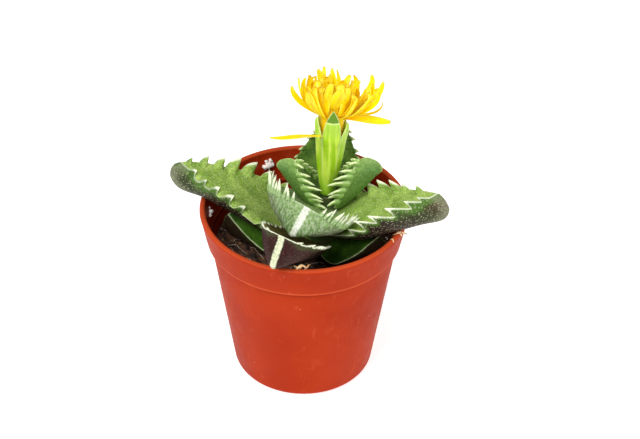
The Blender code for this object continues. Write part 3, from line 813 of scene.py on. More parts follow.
def sepal_grid(number, tip):
    """One sepal, sunk into the tube at its foot, keeled and drawn to a hooded tip."""
    mouth, parted = CALYX_TUBE[-1]
    low = np.linspace(SEPAL_FROM, parted, SEPAL_SUNK_ROWS, endpoint=False)
    free = np.linspace(0, 1, SEPAL_FREE_ROWS)
    shares, added, angles = zip(*SEPAL_SHAPE)
    height = np.concatenate([low, parted + (tip - parted) * free])
    sunk = tube_reach(low) + np.linspace(-SEPAL_SINK, SEPAL_PROUD, SEPAL_SUNK_ROWS)
    radius = np.concatenate([sunk, mouth + SEPAL_PROUD + np.interp(free, shares, added)])
    angle = np.concatenate([np.full(SEPAL_SUNK_ROWS, angles[0]), np.interp(free, shares, angles)])
    share = np.concatenate([np.zeros(SEPAL_SUNK_ROWS), free])
    side = np.linspace(-1, 1, SEPAL_COLUMNS)
    turn = np.radians(angle)[:, None] * side[None, :]
    keel = np.exp(-((side / SEPAL_KEEL_WIDTH) ** 2))
    crest = (TUBE_RIDGE + SEPAL_KEEL * share * (1 - share))[:, None] * keel[None, :]
    thick = (SEPAL_THICK - SEPAL_TIP) * (1 - share**3) + SEPAL_TIP
    thick = thick[:, None] * (1 - SEPAL_THINS * np.abs(side) ** 3)[None, :]
    outer = radius[:, None] + crest
    grid = sheet_grid(*(round_points(reach, turn, height[:, None]) for reach in (outer, outer - thick)))
    edge = (1 - np.abs(side))[None, :] * np.radians(angle)[:, None] * radius[:, None]
    edge = np.concatenate([edge, edge[:, ::-1]], 1)
    height = np.broadcast_to(height[:, None], edge.shape)
    hood = np.broadcast_to((tip - height[:, :1]) / (tip - parted) if number == 0 else 1.0, edge.shape)
    return grid @ around(FRONT_SEPAL_AZIMUTH + 360 * number / SEPALS).T, edge, height, hood


def make_calyx(skin):
    """The green ovary and tube, open at the top, with five pointed sepals round its mouth."""
    pose = flower_pose()
    gather = Gather()
    turn = turns(TUBE_SIDES)
    level = np.linspace(0, CALYX_TUBE[-1][1], TUBE_RINGS)
    around_sepal = (turn - radians(FRONT_SEPAL_AZIMUTH)) * SEPALS
    ridge = TUBE_RIDGE * (np.cos(around_sepal) + 0.5 * np.cos(2 * around_sepal))
    fade = np.clip(level / RIDGE_FADE, 0, 1)
    outside = tube_reach(level)[:, None] + fade[:, None] * ridge[None, :] - RIDGE_INSET * fade[:, None]
    depths = np.array((level[-1] - MOUTH_ROUND, 16.0, 12.0, 8.0, 4.0))
    inside = np.repeat(tube_reach(depths)[:, None] - CALYX_WALL, TUBE_SIDES, 1)
    heights = np.concatenate([level, depths])
    reach = np.concatenate([outside, inside])
    points = round_points(reach, turn, heights[:, None])
    seam = (around_sepal / (2 * pi) + 0.5) % 1
    seam = np.minimum(seam, 1 - seam) * 2 * pi / SEPALS * reach
    gather.add(*tube(posed(pose, points)), edge_distance=seam, height=heights.repeat(TUBE_SIDES), hood=1.0)
    for number, tip in enumerate(SEPAL_TIPS):
        grid, edge, height, hood = sepal_grid(number, tip)
        gather.add(*tube(posed(pose, grid)), edge_distance=edge, height=height, hood=hood)
    gather.piece("calyx_green", "calyx", ("calyx",), skin)


def calyx_skin():
    """Smooth yellow-green sepals with pale edges, darker at their tips."""
    shade = Shade("calyx")
    edge, height, hood = (shade.attribute(key) for key in ("edge_distance", "height", "hood"))
    streak = shade.noise(1.3, 2.0, (1.0, 1.0, 0.1))
    body = shade.mix(shade.ramp(streak, 0.35, 0.65), tone(158, 204, 28), tone(204, 230, 84))
    body = shade.over(body, (128, 188, 32), height, 9.0, 1.0, 0.6)
    body = shade.over(body, (150, 190, 66), height, 20.0, 24.0, 0.5)
    body = shade.over(body, (92, 134, 26), hood, 0.42, 0.36)
    crease = shade.times(shade.ramp(hood, 0.36, 0.39), shade.ramp(hood, 0.44, 0.41))
    body = shade.mix(shade.times(crease, 0.85), body, tone(206, 226, 140))
    line = shade.times(shade.ramp(edge, 0.34, 0.12), shade.ramp(height, 6.0, 20.0, 0.1, 0.6))
    body = shade.mix(line, body, tone(214, 230, 160))
    shade.set(Base_Color=body, Roughness=0.38, Specular_IOR_Level=0.3)
    shade.relief(streak, 0.06)
    shade.soften(0.12, (0.8, 1.0, 0.3))
    return shade.material


class Petal(NamedTuple):
    """One petal in the flower's axes, in degrees and mm: it climbs the tube and parts from it at a height."""

    azimuth: float
    part: float
    radius: float
    tilt: float
    turn: float
    length: float
    width: float
    twist: float
    drift: float
    curl: float
    blunt: float


# Petals that hang apart or shape the flower's outline
OUTER_PETALS = (
    Petal(-10, 25.9, 3.6, 87, 4, 14.9, 4.9, 35, 2, -10, 2.2),
    Petal(8, 26.8, 3.6, 98, -22, 14.6, 1.5, 30, 6, -120, 2.5),
    Petal(232, 20.6, 3.6, 70, 9, 30.2, 2.3, -60, 0, -18, 2.2),
    Petal(3, 26.6, 3.8, 76, -62, 17.4, 3.0, 70, 3, -20, 3.5),
    Petal(-16, 26.6, 3.8, 74, -50, 16.4, 2.8, 60, -4, -40, 3.5),
    Petal(22, 26.6, 3.8, 68, -52, 16.6, 2.8, 80, 4, -60, 3.5),
    Petal(186, 26.4, 3.9, 66, -40, 15.0, 2.6, -80, 4, -30, 3.5),
    Petal(172, 26.4, 3.6, 58, -50, 14.0, 2.4, -80, -6, -60, 3.5),
    Petal(160, 26.4, 3.6, 50, -44, 14.0, 2.4, -60, -6, -110, 3.5),
)
PETAL_RINGS = (
    # count, tilt where they part, turn towards upright, length, width, radius and height where they part
    (16, 8, -12, 8.4, 2.4, 2.0, 27.0),
    (22, 34, -46, 10.6, 2.6, 2.6, 27.0),
    (26, 54, -66, 12.4, 2.7, 3.2, 27.0),
    (28, 74, -84, 14.3, 2.7, 3.8, 26.8),
)
PETAL_LEAN_RIGHT = 7
PETALS_CLOSED = 0.42
PETAL_CURLS = (-110, -70, -30, 0, 30, 60)
FRONT_DROP = 3.6
FRONT_SEPAL_REACH = 32


def petal_grid(petal, foot):
    """A thin strip that climbs the tube, parts from it and curves, as rings of a flat closed body."""
    climb = PETAL_CLIMB
    free = PETAL_STATIONS - climb
    outs = list(np.linspace(min(petal.radius, CROWDED_RADIUS), petal.radius, climb, endpoint=False))
    ups = list(np.linspace(foot, petal.part, climb, endpoint=False))
    out, up, drift = petal.radius, petal.part, 0.0
    sides = [0.0] * climb
    for step in range(free):
        outs.append(out)
        ups.append(up)
        sides.append(drift)
        share = (step + 0.5) / free
        angle = radians(petal.tilt + petal.turn * share + petal.curl * share**5)
        out += sin(angle) * petal.length / free
        up += cos(angle) * petal.length / free
        drift += sin(radians(petal.drift) * 2 * share) * petal.length / free
    line = np.stack([outs, sides, ups], -1)
    run = np.gradient(line, axis=0)
    run /= np.linalg.norm(run, axis=1)[:, None]
    share = np.linspace(0, 1, PETAL_STATIONS)
    free_share = np.clip((np.arange(PETAL_STATIONS) - climb) / free, 0, 1)
    wide = petal.width / 2 * np.clip(PETAL_NECK + PETAL_WIDENS * free_share**0.7, 0, 1)
    wide = np.maximum(wide * (1 - free_share**petal.blunt) ** 0.7, PETAL_LEAST)
    roll = np.radians(petal.twist * free_share**1.5)
    across = np.array((0.0, 1.0, 0.0)) - run * run[:, 1:2]
    across /= np.linalg.norm(across, axis=1)[:, None]
    face = np.cross(run, across)
    turned = across * np.cos(roll)[:, None] + face * np.sin(roll)[:, None]
    facing = np.cross(run, turned)
    side = np.linspace(-1, 1, PETAL_COLUMNS + 1)
    cup = PETAL_CUP * wide[:, None] * side[None, :] ** 2
    grids = []
    for offset in (PETAL_THICK / 2, -PETAL_THICK / 2):
        thick = offset * (1 - PETAL_THINS * side[None, :] ** 4) * np.ones((PETAL_STATIONS, 1))
        points = line[:, None] + turned[:, None] * (wide[:, None] * side[None, :])[..., None]
        grids.append(points + facing[:, None] * (cup + thick)[..., None])
    grid = sheet_grid(*grids)
    edge = np.broadcast_to(np.abs(np.concatenate([side, side[::-1]])), grid.shape[:2])
    along = np.broadcast_to(share[:, None], grid.shape[:2])
    return grid @ around(petal.azimuth).T, edge, along


def faces_front_sepal(azimuth):
    return abs((azimuth - FRONT_SEPAL_AZIMUTH + 180) % 360 - 180) < FRONT_SEPAL_REACH


def ring_petals(draw):
    """The petals of all rings, shut towards the front and the back and shorter before the front sepal."""
    for count, tilt, turn, length, width, radius, part in PETAL_RINGS:
        start = draw.uniform(0, 360)
        for number in range(count):
            azimuth = start + 360 * (number + draw.uniform(-0.25, 0.25)) / count
            drop = FRONT_DROP if faces_front_sepal(azimuth) else 0.0
            aside = cos(radians(azimuth))
            shut = 1 - PETALS_CLOSED * (1 - aside * aside)
            yield Petal(
                azimuth=azimuth,
                part=part + drop,
                radius=radius,
                tilt=tilt * shut + draw.uniform(-4, 6) + PETAL_LEAN_RIGHT * aside,
                turn=turn * shut + draw.uniform(-10, 10),
                length=length * draw.uniform(0.88, 1.06) * (0.92 + 0.08 * aside * aside) - 0.6 * drop,
                width=width * draw.uniform(0.8, 1.15),
                twist=draw.uniform(-45, 45),
                drift=draw.uniform(-18, 18),
                curl=draw.choice(PETAL_CURLS),
                blunt=draw.uniform(3.0, 6.0),
            )


def make_corolla(skin):
    """The thin yellow petals, in layers, with a few that hang apart."""
    draw = random.Random(SEED)
    pose = flower_pose()
    gather = Gather()
    foot = CUP_FLOOR + PETAL_FOOT
    for petal in (*ring_petals(draw), *OUTER_PETALS):
        grid, edge, along = petal_grid(petal, foot)
        gather.add(*tube(posed(pose, grid)), edge=edge, along=along, tint=draw.random())
    gather.piece("petals", "petal", ("corolla",), skin)


def petal_skin():
    """Glossy yellow petals, paler at their edges, with painted shade in orange towards their crowded feet and
    a faint painted glow.
    """
    shade = Shade("petal")
    edge, along, tint = (shade.attribute(key) for key in ("edge", "along", "tint"))
    streak = shade.noise(0.7, 2.0, (1.0, 1.0, 0.25))
    body = shade.mix(tint, tone(255, 226, 0), tone(255, 212, 0))
    body = shade.over(body, (250, 198, 0), streak, 0.4, 0.75, 0.7)
    # Painted shade, in orange, towards the petals' crowded feet
    body = shade.over(body, (244, 180, 10), along, 0.45, 0.1, 0.6)
    body = shade.over(body, (255, 236, 70), edge, 0.55, 1.0, 0.6)
    body = shade.over(body, (196, 130, 30), along, 0.96, 1.0, 0.5)
    # The faint emission is a painted glow
    shade.set(Base_Color=body, Roughness=0.4, Emission_Color=body, Emission_Strength=0.08)
    shade.relief(streak, 0.04)
    shade.soften(0.3, (1.0, 0.7, 0.1))
    return shade.material


ANTHERS, ANTHER_SIDES = 46, 8
GOLDEN_ANGLE = 137.5
MIDDLE_RADIUS = 2.3
ANTHER_FOOT, ANTHER_TOP = 15, 30.6
ANTHER_SECTIONS = ((0, 0.14), (0.4, 0.12), (0.82, 0.12), (0.86, 0.3), (0.93, 0.42), (1.0, 0.2))


def make_anthers(skin):
    """The crowded filaments and anthers in the bloom's middle."""
    draw = random.Random(SEED + 1)
    pose = flower_pose()
    gather = Gather()
    circle = round_points(1.0, turns(ANTHER_SIDES), 0.0)
    for number in range(ANTHERS):
        azimuth = radians(number * GOLDEN_ANGLE)
        reach = MIDDLE_RADIUS * sqrt((number + 0.5) / ANTHERS)
        height = ANTHER_TOP + draw.uniform(-1.2, 1.6)
        rows = []
        for share, size in ANTHER_SECTIONS:
            bend = reach * (0.55 + 0.75 * share**1.5)
            level = ANTHER_FOOT + (height - ANTHER_FOOT) * share
            rows.append(circle * size + (bend * cos(azimuth), bend * sin(azimuth), level))
        along = np.linspace(0, 1, len(rows)).repeat(ANTHER_SIDES)
        gather.add(*tube(posed(pose, np.array(rows))), along=along)
    gather.piece("anthers", "petal", ("corolla",), skin)


def anther_skin():
    shade = Shade("anthers")
    along = shade.attribute("along")
    grain = shade.noise(0.3, 2.0)
    body = shade.mix(shade.ramp(along, 0.8, 0.88), tone(250, 214, 60), tone(236, 160, 20))
    shade.set(Base_Color=shade.over(body, (200, 120, 10), grain, 0.3, 0.7, 0.3))
    shade.set(Roughness=0.7)
    return shade.material


# Pot and soil

POT_SIDES = 180
HOLE_SIDES = 24
BAND_BEND = 1.2
BAND_HOLLOW = 0.5
BAND_ROUND = 0.45
FLOOR_ROUND = 1.6
# How far the painted shade under the band's step and the painted highlights on the pot show
STEP_SHADE_SHARE = 0.85
PAINTED_HIGHLIGHT_SHARE = 0.36
SOIL_GAP = 0.4
SOIL_SIDES = 240
SOIL_RINGS = 90
SOIL_ROUGHNESS = (
    # slice of the noise, grain and height in mm
    (0, 5.0, 0.5),
    (3, 1.6, 0.45),
    (7, 0.7, 0.3),
)
CRUMB_LEAST, CRUMB_RANGE = 0.35, 0.95
ROOTS = 110
ROOT_BENDS = 6
ROOT_STEP = 1.5
ROOT_MARGIN = 0.8
ROOT_LIFT = (0.1, 0.7)
ROOT_BEND = 0.9
ROOT_RADIUS = (0.07, 0.15)
SOIL_PERLITE = 16
PERLITE_SIZE = (0.3, 0.75)
LUMP_ROWS, LUMP_SIDES = 6, 9
LUMP_MIDDLE, LUMP_UNEVEN, LUMP_GRAIN = 0.75, 0.55, 1.3
THREAD_STEPS, THREAD_SIDES = 24, 6
THREAD_END = 0.35
# A direction that no thread runs along
THREAD_SKEW = (0.31, 0.17, 0.93)


def turned_grid(profile, sides):
    """A profile of radii and heights turned round the upright axis."""
    radius, height = (np.array(line)[:, None] for line in zip(*profile))
    return round_points(radius, turns(sides), height)


def arc(centre, radius, first, last, steps):
    """Points of a profile's round corner, from one angle in degrees to another."""
    angles = np.radians(np.linspace(first, last, steps + 1))
    return [(centre[0] + radius * cos(angle), centre[1] + radius * sin(angle)) for angle in angles]


def inner_radius(pot, height):
    """The pot's inner wall radius at a height, in mm."""
    low = pot.base_radius / MM - pot.wall / MM
    top = (pot.rim_radius - pot.rim_lip) / MM
    floor = pot.floor / MM
    return low + (top - low) * (height - floor) / (pot.height / MM - floor)


def pot_profile(pot):
    """Radius and height in mm from the rounded foot, round the rim and down to the floor."""
    base, edge, lip = pot.base_radius / MM, pot.base_edge / MM, pot.rim_lip / MM / 2
    height, rim = pot.height / MM, pot.rim_radius / MM
    under, step = pot.under_band_radius / MM, pot.band_step / MM
    foot = height - pot.band_height / MM
    bend = foot - BAND_BEND
    band = under + step
    return [
        *arc((base - edge, edge), edge, -90, -4, 10),
        *((base + (under - base) * share, edge + (bend - edge) * share) for share in (0.25, 0.5, 0.75)),
        (under, bend),
        *arc((under + BAND_HOLLOW, foot - BAND_HOLLOW - 0.05), BAND_HOLLOW, 180, 95, 4),
        (band - 0.7, foot - 0.04),
        *arc((band - BAND_ROUND, foot + BAND_ROUND), BAND_ROUND, -90, 0, 6),
        (band + 0.05, foot + 2 * BAND_ROUND),
        *(
            (band + (rim - 0.1 - band) * share, foot + (height - lip - foot) * share)
            for share in (0.3, 0.6, 0.9)
        ),
        *arc((rim - lip, height - lip), lip, -8, 188, 18),
        (inner_radius(pot, height - 2.5), height - 2.5),
        *((inner_radius(pot, level), level) for level in (50, 40, 30, 20, 10, 4)),
        *arc((inner_radius(pot, 3) - FLOOR_ROUND, pot.floor / MM + FLOOR_ROUND), FLOOR_ROUND, 0, -90, 5),
    ]


def make_pot(pot, skin):
    """The moulded pot, with drain holes through its floor."""
    gather = Gather()
    grid = turned_grid(pot_profile(pot), POT_SIDES) * MM
    gather.add(grid.reshape(-1, 3).tolist(), grid_faces(*grid.shape[:2]))
    add_floor(gather, pot, grid)
    gather.piece("pot_shell", "pot", ("pot",), skin)


def add_floor(gather, pot, grid):
    """The floor disc between the wall's last rings, pierced by a ring of drain holes."""
    work = bmesh.new()
    for ring, level in ((grid[0], 0.0), (grid[-1], pot.floor)):
        outer = [work.verts.new(tuple(point)) for point in ring]
        edges = [work.edges.new(pair) for pair in zip(outer, outer[1:] + outer[:1])]
        for hole in range(pot.drain_holes):
            turn = 2 * pi * (hole + 0.5) / pot.drain_holes
            centre = pot.drain_ring * np.array((cos(turn), sin(turn), 0.0))
            circle = round_points(pot.drain_radius, turns(HOLE_SIDES), level)
            rim = [work.verts.new(point) for point in centre + circle]
            edges += [work.edges.new(pair) for pair in zip(rim, rim[1:] + rim[:1])]
        bmesh.ops.triangle_fill(work, edges=edges, use_beauty=True)
    work.verts.ensure_lookup_table()
    ring = len(grid[0])
    layer = ring + HOLE_SIDES * pot.drain_holes
    for first in range(ring, layer, HOLE_SIDES):
        for side in range(HOLE_SIDES):
            here, there = first + side, first + (side + 1) % HOLE_SIDES
            quad = (here, there, layer + there, layer + here)
            work.faces.new([work.verts[corner] for corner in quad])
    bmesh.ops.recalc_face_normals(work, faces=work.faces)
    points = [list(vertex.co) for vertex in work.verts]
    gather.add(points, [[vertex.index for vertex in face.verts] for face in work.faces])
    work.free()


def pot_skin(pot):
    """Satin terracotta-coloured plastic with faint clouds, scuffs and pale dust specks, a line of painted
    shade under the band's step and painted highlights above the step and along the rim's top.
    """
    shade = Shade("terracotta_plastic")
    cloud = shade.noise(22.0, 4.0)
    scuff = shade.noise(3.5, 5.0, (1.0, 1.0, 0.5), 1.0)
    speck = shade.ramp(shade.cells(2.6), 0.10, 0.05)
    patch = shade.ramp(shade.noise(9.0, 2.0), 0.5, 0.72)
    body = shade.mix(shade.ramp(cloud, 0.3, 0.7), tone(156, 42, 10), tone(168, 50, 16))
    body = shade.over(body, (200, 96, 66), scuff, 0.55, 0.8, 0.28)
    body = shade.mix(shade.times(speck, patch), body, tone(236, 170, 146))
    level = shade.level()
    top = pot.height / MM
    step = top - pot.band_height / MM
    # Painted shade in the hollow under the band's step
    step_shade = shade.times(shade.ramp(level, step - 1.3, step - 0.5), shade.ramp(level, step + 0.1, step - 0.3))
    body = shade.mix(shade.times(step_shade, STEP_SHADE_SHARE), body, tone(90, 20, 6))
    # Painted highlights just above the band's step and along the top of the rim
    painted_highlight = shade.times(shade.ramp(level, step + 0.1, step + 0.4), shade.ramp(level, step + 1.2, step + 0.6))
    painted_highlight = shade.maths("MAXIMUM", painted_highlight, shade.ramp(level, top - 0.9, top - 0.3))
    body = shade.mix(shade.times(painted_highlight, PAINTED_HIGHLIGHT_SHARE), body, tone(222, 98, 56))
    shade.set(Base_Color=body, Roughness=shade.ramp(scuff, 0.3, 0.8, 0.42, 0.6), Specular_IOR_Level=0.04)
    shade.relief(shade.noise(1.2, 3.0), 0.03)
    return shade.material


def soil_edge(soil, pot):
    """Radius in mm of the soil's top."""
    return inner_radius(pot, soil.at_wall / MM - 0.8) - SOIL_GAP


def soil_height(x, y, soil, edge):
    """The soil's top in mm, dished from the wall to the stem and rough."""
    share = min(hypot(x, y) / edge, 1.0)
    rough = sum(noise.noise(Vector((x, y, part)) / grain) * high for part, grain, high in SOIL_ROUGHNESS)
    dish = (soil.at_wall - soil.at_stem) / MM * share**3
    return soil.at_stem / MM + dish + rough


def make_soil(soil, pot, skin):
    """The filling: a rough top on a plain tapered body that fits the pot."""
    wall = soil.at_wall / MM
    edge = soil_edge(soil, pot)
    low = pot.floor / MM + 0.3
    profile = [(0.02, low), (inner_radius(pot, low) - 2.3, low)]
    profile += [(inner_radius(pot, level) - SOIL_GAP, level) for level in (3.4, 12, 30, wall - 1.6)]
    profile += [(edge * (1 - (step / SOIL_RINGS) ** 0.9) + 0.02, wall) for step in range(SOIL_RINGS + 1)]
    grid = turned_grid(profile, SOIL_SIDES)
    for ring in grid[6:]:
        for point in ring:
            point[2] = soil_height(point[0], point[1], soil, edge)
    finish_piece("soil_body", *tube(grid * MM), "soil", ("soil",), skin)


def soil_skin():
    shade = Shade("soil")
    cloud = shade.noise(3.0, 5.0)
    grain = shade.noise(0.5, 3.0)
    body = shade.mix(shade.ramp(cloud, 0.35, 0.65), tone(54, 32, 22), tone(106, 68, 46))
    body = shade.over(body, (96, 76, 58), grain, 0.55, 0.8, 0.5)
    shade.set(Base_Color=body, Roughness=0.9)
    shade.relief(shade.maths("ADD", cloud, grain), 0.4)
    return shade.material


def lump(draw, centre, size, squash=1.0):
    """An uneven stone-like grain: a ball of rings pushed in and out."""
    seed = Vector((draw.uniform(0, 99), draw.uniform(0, 99), 0))
    turn = Euler([draw.uniform(0, 6.28) for _ in range(3)]).to_matrix()
    rings = []
    for row in range(LUMP_ROWS):
        lift = pi * (row + 0.5) / LUMP_ROWS
        ring = []
        for column in range(LUMP_SIDES):
            angle = 2 * pi * column / LUMP_SIDES
            way = Vector((sin(lift) * cos(angle), sin(lift) * sin(angle), cos(lift)))
            reach = size * (LUMP_MIDDLE + LUMP_UNEVEN * noise.noise(way * LUMP_GRAIN + seed))
            spot = Vector((way.x * reach, way.y * reach * squash, way.z * reach))
            ring.append(Vector(centre) + turn @ spot)
        rings.append(ring)
    return tube(np.array(rings) * MM)


def soil_spot(draw, soil, pot, low=0.0, high=1.0):
    """A place on the soil's top, between two shares of its radius."""
    edge = soil_edge(soil, pot)
    reach = edge * sqrt(draw.uniform(low, high))
    turn = draw.uniform(0, 2 * pi)
    x, y = reach * cos(turn), reach * sin(turn)
    return x, y, soil_height(x, y, soil, edge)


def make_crumbs(soil, pot, skin):
    """Crumbs of peat and bark on the soil."""
    draw = random.Random(SEED + 2)
    gather = Gather()
    for _ in range(soil.crumbs):
        x, y, z = soil_spot(draw, soil, pot, 0.05, 0.93)
        size = CRUMB_LEAST + CRUMB_RANGE * draw.random() ** 3
        gather.add(*lump(draw, (x, y, z + 0.2 * size), size, draw.uniform(0.4, 1.0)), tint=draw.random())
    gather.piece("soil_crumbs", "soil", (), skin)


# Loose pieces' noise, two tones, worn tone, where and how far it shows, roughness, relief in mm and painted
# glow
ROOT_LOOK = ((0.8, 2.0), ((140, 112, 86), (222, 206, 180)), (90, 66, 48), (0.4, 0.7, 0.5), 0.7, 0.0)
PERLITE_LOOK = (
    (0.4, 3.0), ((255, 250, 244), (240, 230, 222)), (200, 184, 172), (0.5, 0.75, 0.3), 0.85, 0.12, 0.12
)
SCRAP_LOOK = ((0.7, 3.0), ((226, 186, 130), (190, 128, 70)), (246, 226, 190), (0.45, 0.65), 0.75, 0.1)
# Colour of the perlite's painted glow, which makes it brighter than the lamps do
PERLITE_PAINTED_GLOW = (1.0, 0.97, 0.94)


def litter_skin(name, grain, colours, worn, worn_share, roughness, depth, glow=0.0):
    """Small loose pieces, each between two tones, with a worn tone where the grain goes from low to high, and
    a painted glow if one is given.
    """
    shade = Shade(name)
    tint = shade.attribute("tint")
    grain = shade.noise(*grain)
    body = shade.mix(tint, *(tone(*colour) for colour in colours))
    shade.set(Base_Color=shade.over(body, worn, grain, *worn_share), Roughness=roughness)
    # A painted glow: the pieces give off light though they are no lamp
    if glow:
        shade.set(Emission_Color=PERLITE_PAINTED_GLOW, Emission_Strength=glow)
    if depth:
        shade.relief(grain, depth)
    return shade.material


def crumb_skin():
    """Brown crumbs from dark to light, a few of them pale."""
    shade = Shade("crumbs")
    tint = shade.attribute("tint")
    grain = shade.noise(0.5, 3.0)
    body = shade.mix(shade.ramp(tint, 0.1, 0.8), tone(38, 24, 17), tone(118, 82, 54))
    body = shade.over(body, (150, 118, 84), tint, 0.9, 0.97)
    shade.set(Base_Color=shade.over(body, (22, 15, 12), grain, 0.3, 0.7, 0.5), Roughness=0.85)
    shade.relief(grain, 0.15)
    return shade.material


def thread(line, radius):
    """A thin tube along a line of points in mm, tapered at its ends."""
    line = np.array([curve(values, np.linspace(0, 1, THREAD_STEPS)) for values in zip(*line)]).T
    run = np.gradient(line, axis=0)
    run /= np.linalg.norm(run, axis=1)[:, None] + 1e-9
    first = np.cross(run, THREAD_SKEW)
    first /= np.linalg.norm(first, axis=1)[:, None] + 1e-9
    second = np.cross(run, first)
    share = np.linspace(0, 1, len(line))
    size = radius * (THREAD_END + (1 - THREAD_END) * np.sin(pi * share) ** 0.5)
    turn = turns(THREAD_SIDES)[None, :, None]
    ring = first[:, None] * np.cos(turn) + second[:, None] * np.sin(turn)
    return tube((line[:, None] + ring * size[:, None, None]) * MM)


def make_roots(soil, pot, skin):
    """Fine pale roots that lie on the soil, at random places round the stem."""
    draw = random.Random(SEED + 3)
    gather = Gather()
    edge = soil_edge(soil, pot)
    for _ in range(ROOTS):
        x, y, _ = soil_spot(draw, soil, pot, 0.1, 0.8)
        heading = draw.uniform(0, 2 * pi)
        line = []
        for _ in range(ROOT_BENDS):
            inward = min(1.0, (edge - ROOT_MARGIN) / hypot(x, y))
            x, y = x * inward, y * inward
            line.append((x, y, soil_height(x, y, soil, edge) + draw.uniform(*ROOT_LIFT)))
            heading += draw.uniform(-ROOT_BEND, ROOT_BEND)
            x += ROOT_STEP * cos(heading)
            y += ROOT_STEP * sin(heading)
        gather.add(*thread(line, draw.uniform(*ROOT_RADIUS)), tint=draw.random())
    gather.piece("soil_roots", "soil", (), skin)


WALL_PERLITE = (
    # azimuth in degrees, height and size in mm of the grains that cling to the pot's wall
    (113.3, 55.6, 1.3),
    (115.6, 55.0, 1.0),
    (111.0, 55.2, 1.0),
    (114.4, 56.8, 0.8),
    (111.6, 56.8, 0.8),
    (174.0, 55.0, 1.0),
    (175.8, 54.2, 0.7),
    (172.8, 56.0, 0.45),
)


def make_perlite(soil, pot, skin):
    """White perlite grains, on the soil and on the pot's inner wall."""
    draw = random.Random(SEED + 4)
    gather = Gather()
    for _ in range(SOIL_PERLITE):
        x, y, z = soil_spot(draw, soil, pot, 0.2, 0.9)
        gather.add(*lump(draw, (x, y, z + 0.2), draw.uniform(*PERLITE_SIZE)), tint=draw.random())
    for azimuth, height, size in WALL_PERLITE:
        reach = inner_radius(pot, height) - size * 0.45
        turn = radians(azimuth)
        centre = (reach * cos(turn), reach * sin(turn), height)
        gather.add(*lump(draw, centre, size), tint=draw.random())
    gather.piece("perlite", "soil", (), skin)


SCRAPS = (
    # points in mm of each dry scrap's line, and its radius
    (((-3.4, -30.2, 57.0), (-2.6, -30.9, 59.0), (-1.2, -31.0, 60.9), (0.2, -30.4, 60.6)), 0.35),
    (((-2.2, -30.0, 57.4), (-1.4, -30.6, 59.4), (-0.4, -31.0, 61.2), (0.6, -31.2, 60.7)), 0.3),
    (((-0.8, -29.8, 57.0), (0.3, -30.4, 59.2), (1.1, -30.9, 60.8), (1.6, -30.6, 61.4)), 0.3),
    (((-3.0, -30.6, 60.9), (-1.8, -31.2, 60.8), (-0.6, -31.0, 61.5), (0.4, -31.6, 61.0)), 0.28),
    (((27.0, -13.4, 59.0), (28.0, -14.6, 60.6), (29.0, -15.2, 61.4), (29.8, -16.4, 60.9)), 0.3),
    (((27.8, -12.8, 59.2), (28.8, -13.8, 61.0), (30.0, -14.8, 61.2), (31.4, -15.0, 60.8)), 0.26),
    (((25.0, -15.0, 56.5), (26.0, -16.0, 58.6), (26.8, -16.8, 60.2), (27.2, -17.6, 59.6)), 0.25),
)


def make_scraps(skin):
    """Dry brown scraps of old sheath that stick up at the rim."""
    gather = Gather()
    for number, (line, radius) in enumerate(SCRAPS):
        gather.add(*thread(line, radius), tint=(number * 0.37) % 1)
    gather.piece("dry_scraps", "soil", (), skin)


# Studio

CAMERA_PLACE = (0.0, -0.4918, 0.4378)
CAMERA_TARGET = (0.00494, 0.0, 0.0545)
CAMERA_ROLL = radians(0.77)
SENSOR = 36.0
FOCAL_SHARE = 3.125
KEY_PLACE = (-0.35, -0.45, 0.75)
FILL_PLACE = (0.55, -0.35, 0.45)
LAMP_SIZE = 0.5
LAMP_TARGET = (0.0, 0.0, 0.05)


def aim(name, data, place, target, roll=0.0):
    """A camera or a lamp that stands at a place and looks at a target."""
    thing = add_object(name, data)
    thing.location = place
    thing.rotation_mode = "QUATERNION"
    look = (Vector(target) - Vector(place)).to_track_quat("-Z", "Y")
    thing.rotation_quaternion = look @ Quaternion((0, 0, 1), roll)
    return thing


def make_camera():
    data = bpy.data.cameras.new("photo_camera")
    data.sensor_width = SENSOR
    data.lens = SENSOR * FOCAL_SHARE
    data.clip_start = 0.01
    bpy.context.scene.camera = aim("photo_camera", data, CAMERA_PLACE, CAMERA_TARGET, CAMERA_ROLL)


def make_light(name, place, power):
    data = bpy.data.lights.new(name, "AREA")
    data.shape = "DISK"
    data.size = LAMP_SIZE
    data.energy = power
    aim(name, data, place, LAMP_TARGET)


def make_floor(stage):
    reach = stage.floor_reach
    points = [(x * reach, y * reach, 0) for x, y in ((-1, -1), (1, -1), (1, 1), (-1, 1))]
    mesh = bpy.data.meshes.new("floor")
    mesh.from_pydata(points, [], [(0, 1, 2, 3)])
    shade = Shade("floor")
    cloud = shade.noise(60.0, 2.0)
    pale = tuple(stage.floor_colour)
    shade.set(Base_Color=shade.mix(shade.ramp(cloud, 0.3, 0.7, 0.0, 0.04), pale, (0.8, 0.8, 0.8)))
    shade.set(Roughness=0.9, Emission_Color=pale, Emission_Strength=stage.floor_glow)
    mesh.materials.append(shade.material)
    floor = add_object("floor", mesh)
    floor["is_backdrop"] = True


def make_world(stage):
    world = bpy.data.worlds.new("studio")
    world.use_nodes = True
    sky = world.node_tree.nodes["Background"]
    sky.inputs["Color"].default_value = (1.0, 1.0, 1.0, 1.0)
    sky.inputs["Strength"].default_value = stage.sky
    bpy.context.scene.world = world


# Settings


def metres(name, text, value):
    return FloatProperty(name=name, description=text, default=value, min=0.0, unit="LENGTH", precision=4)


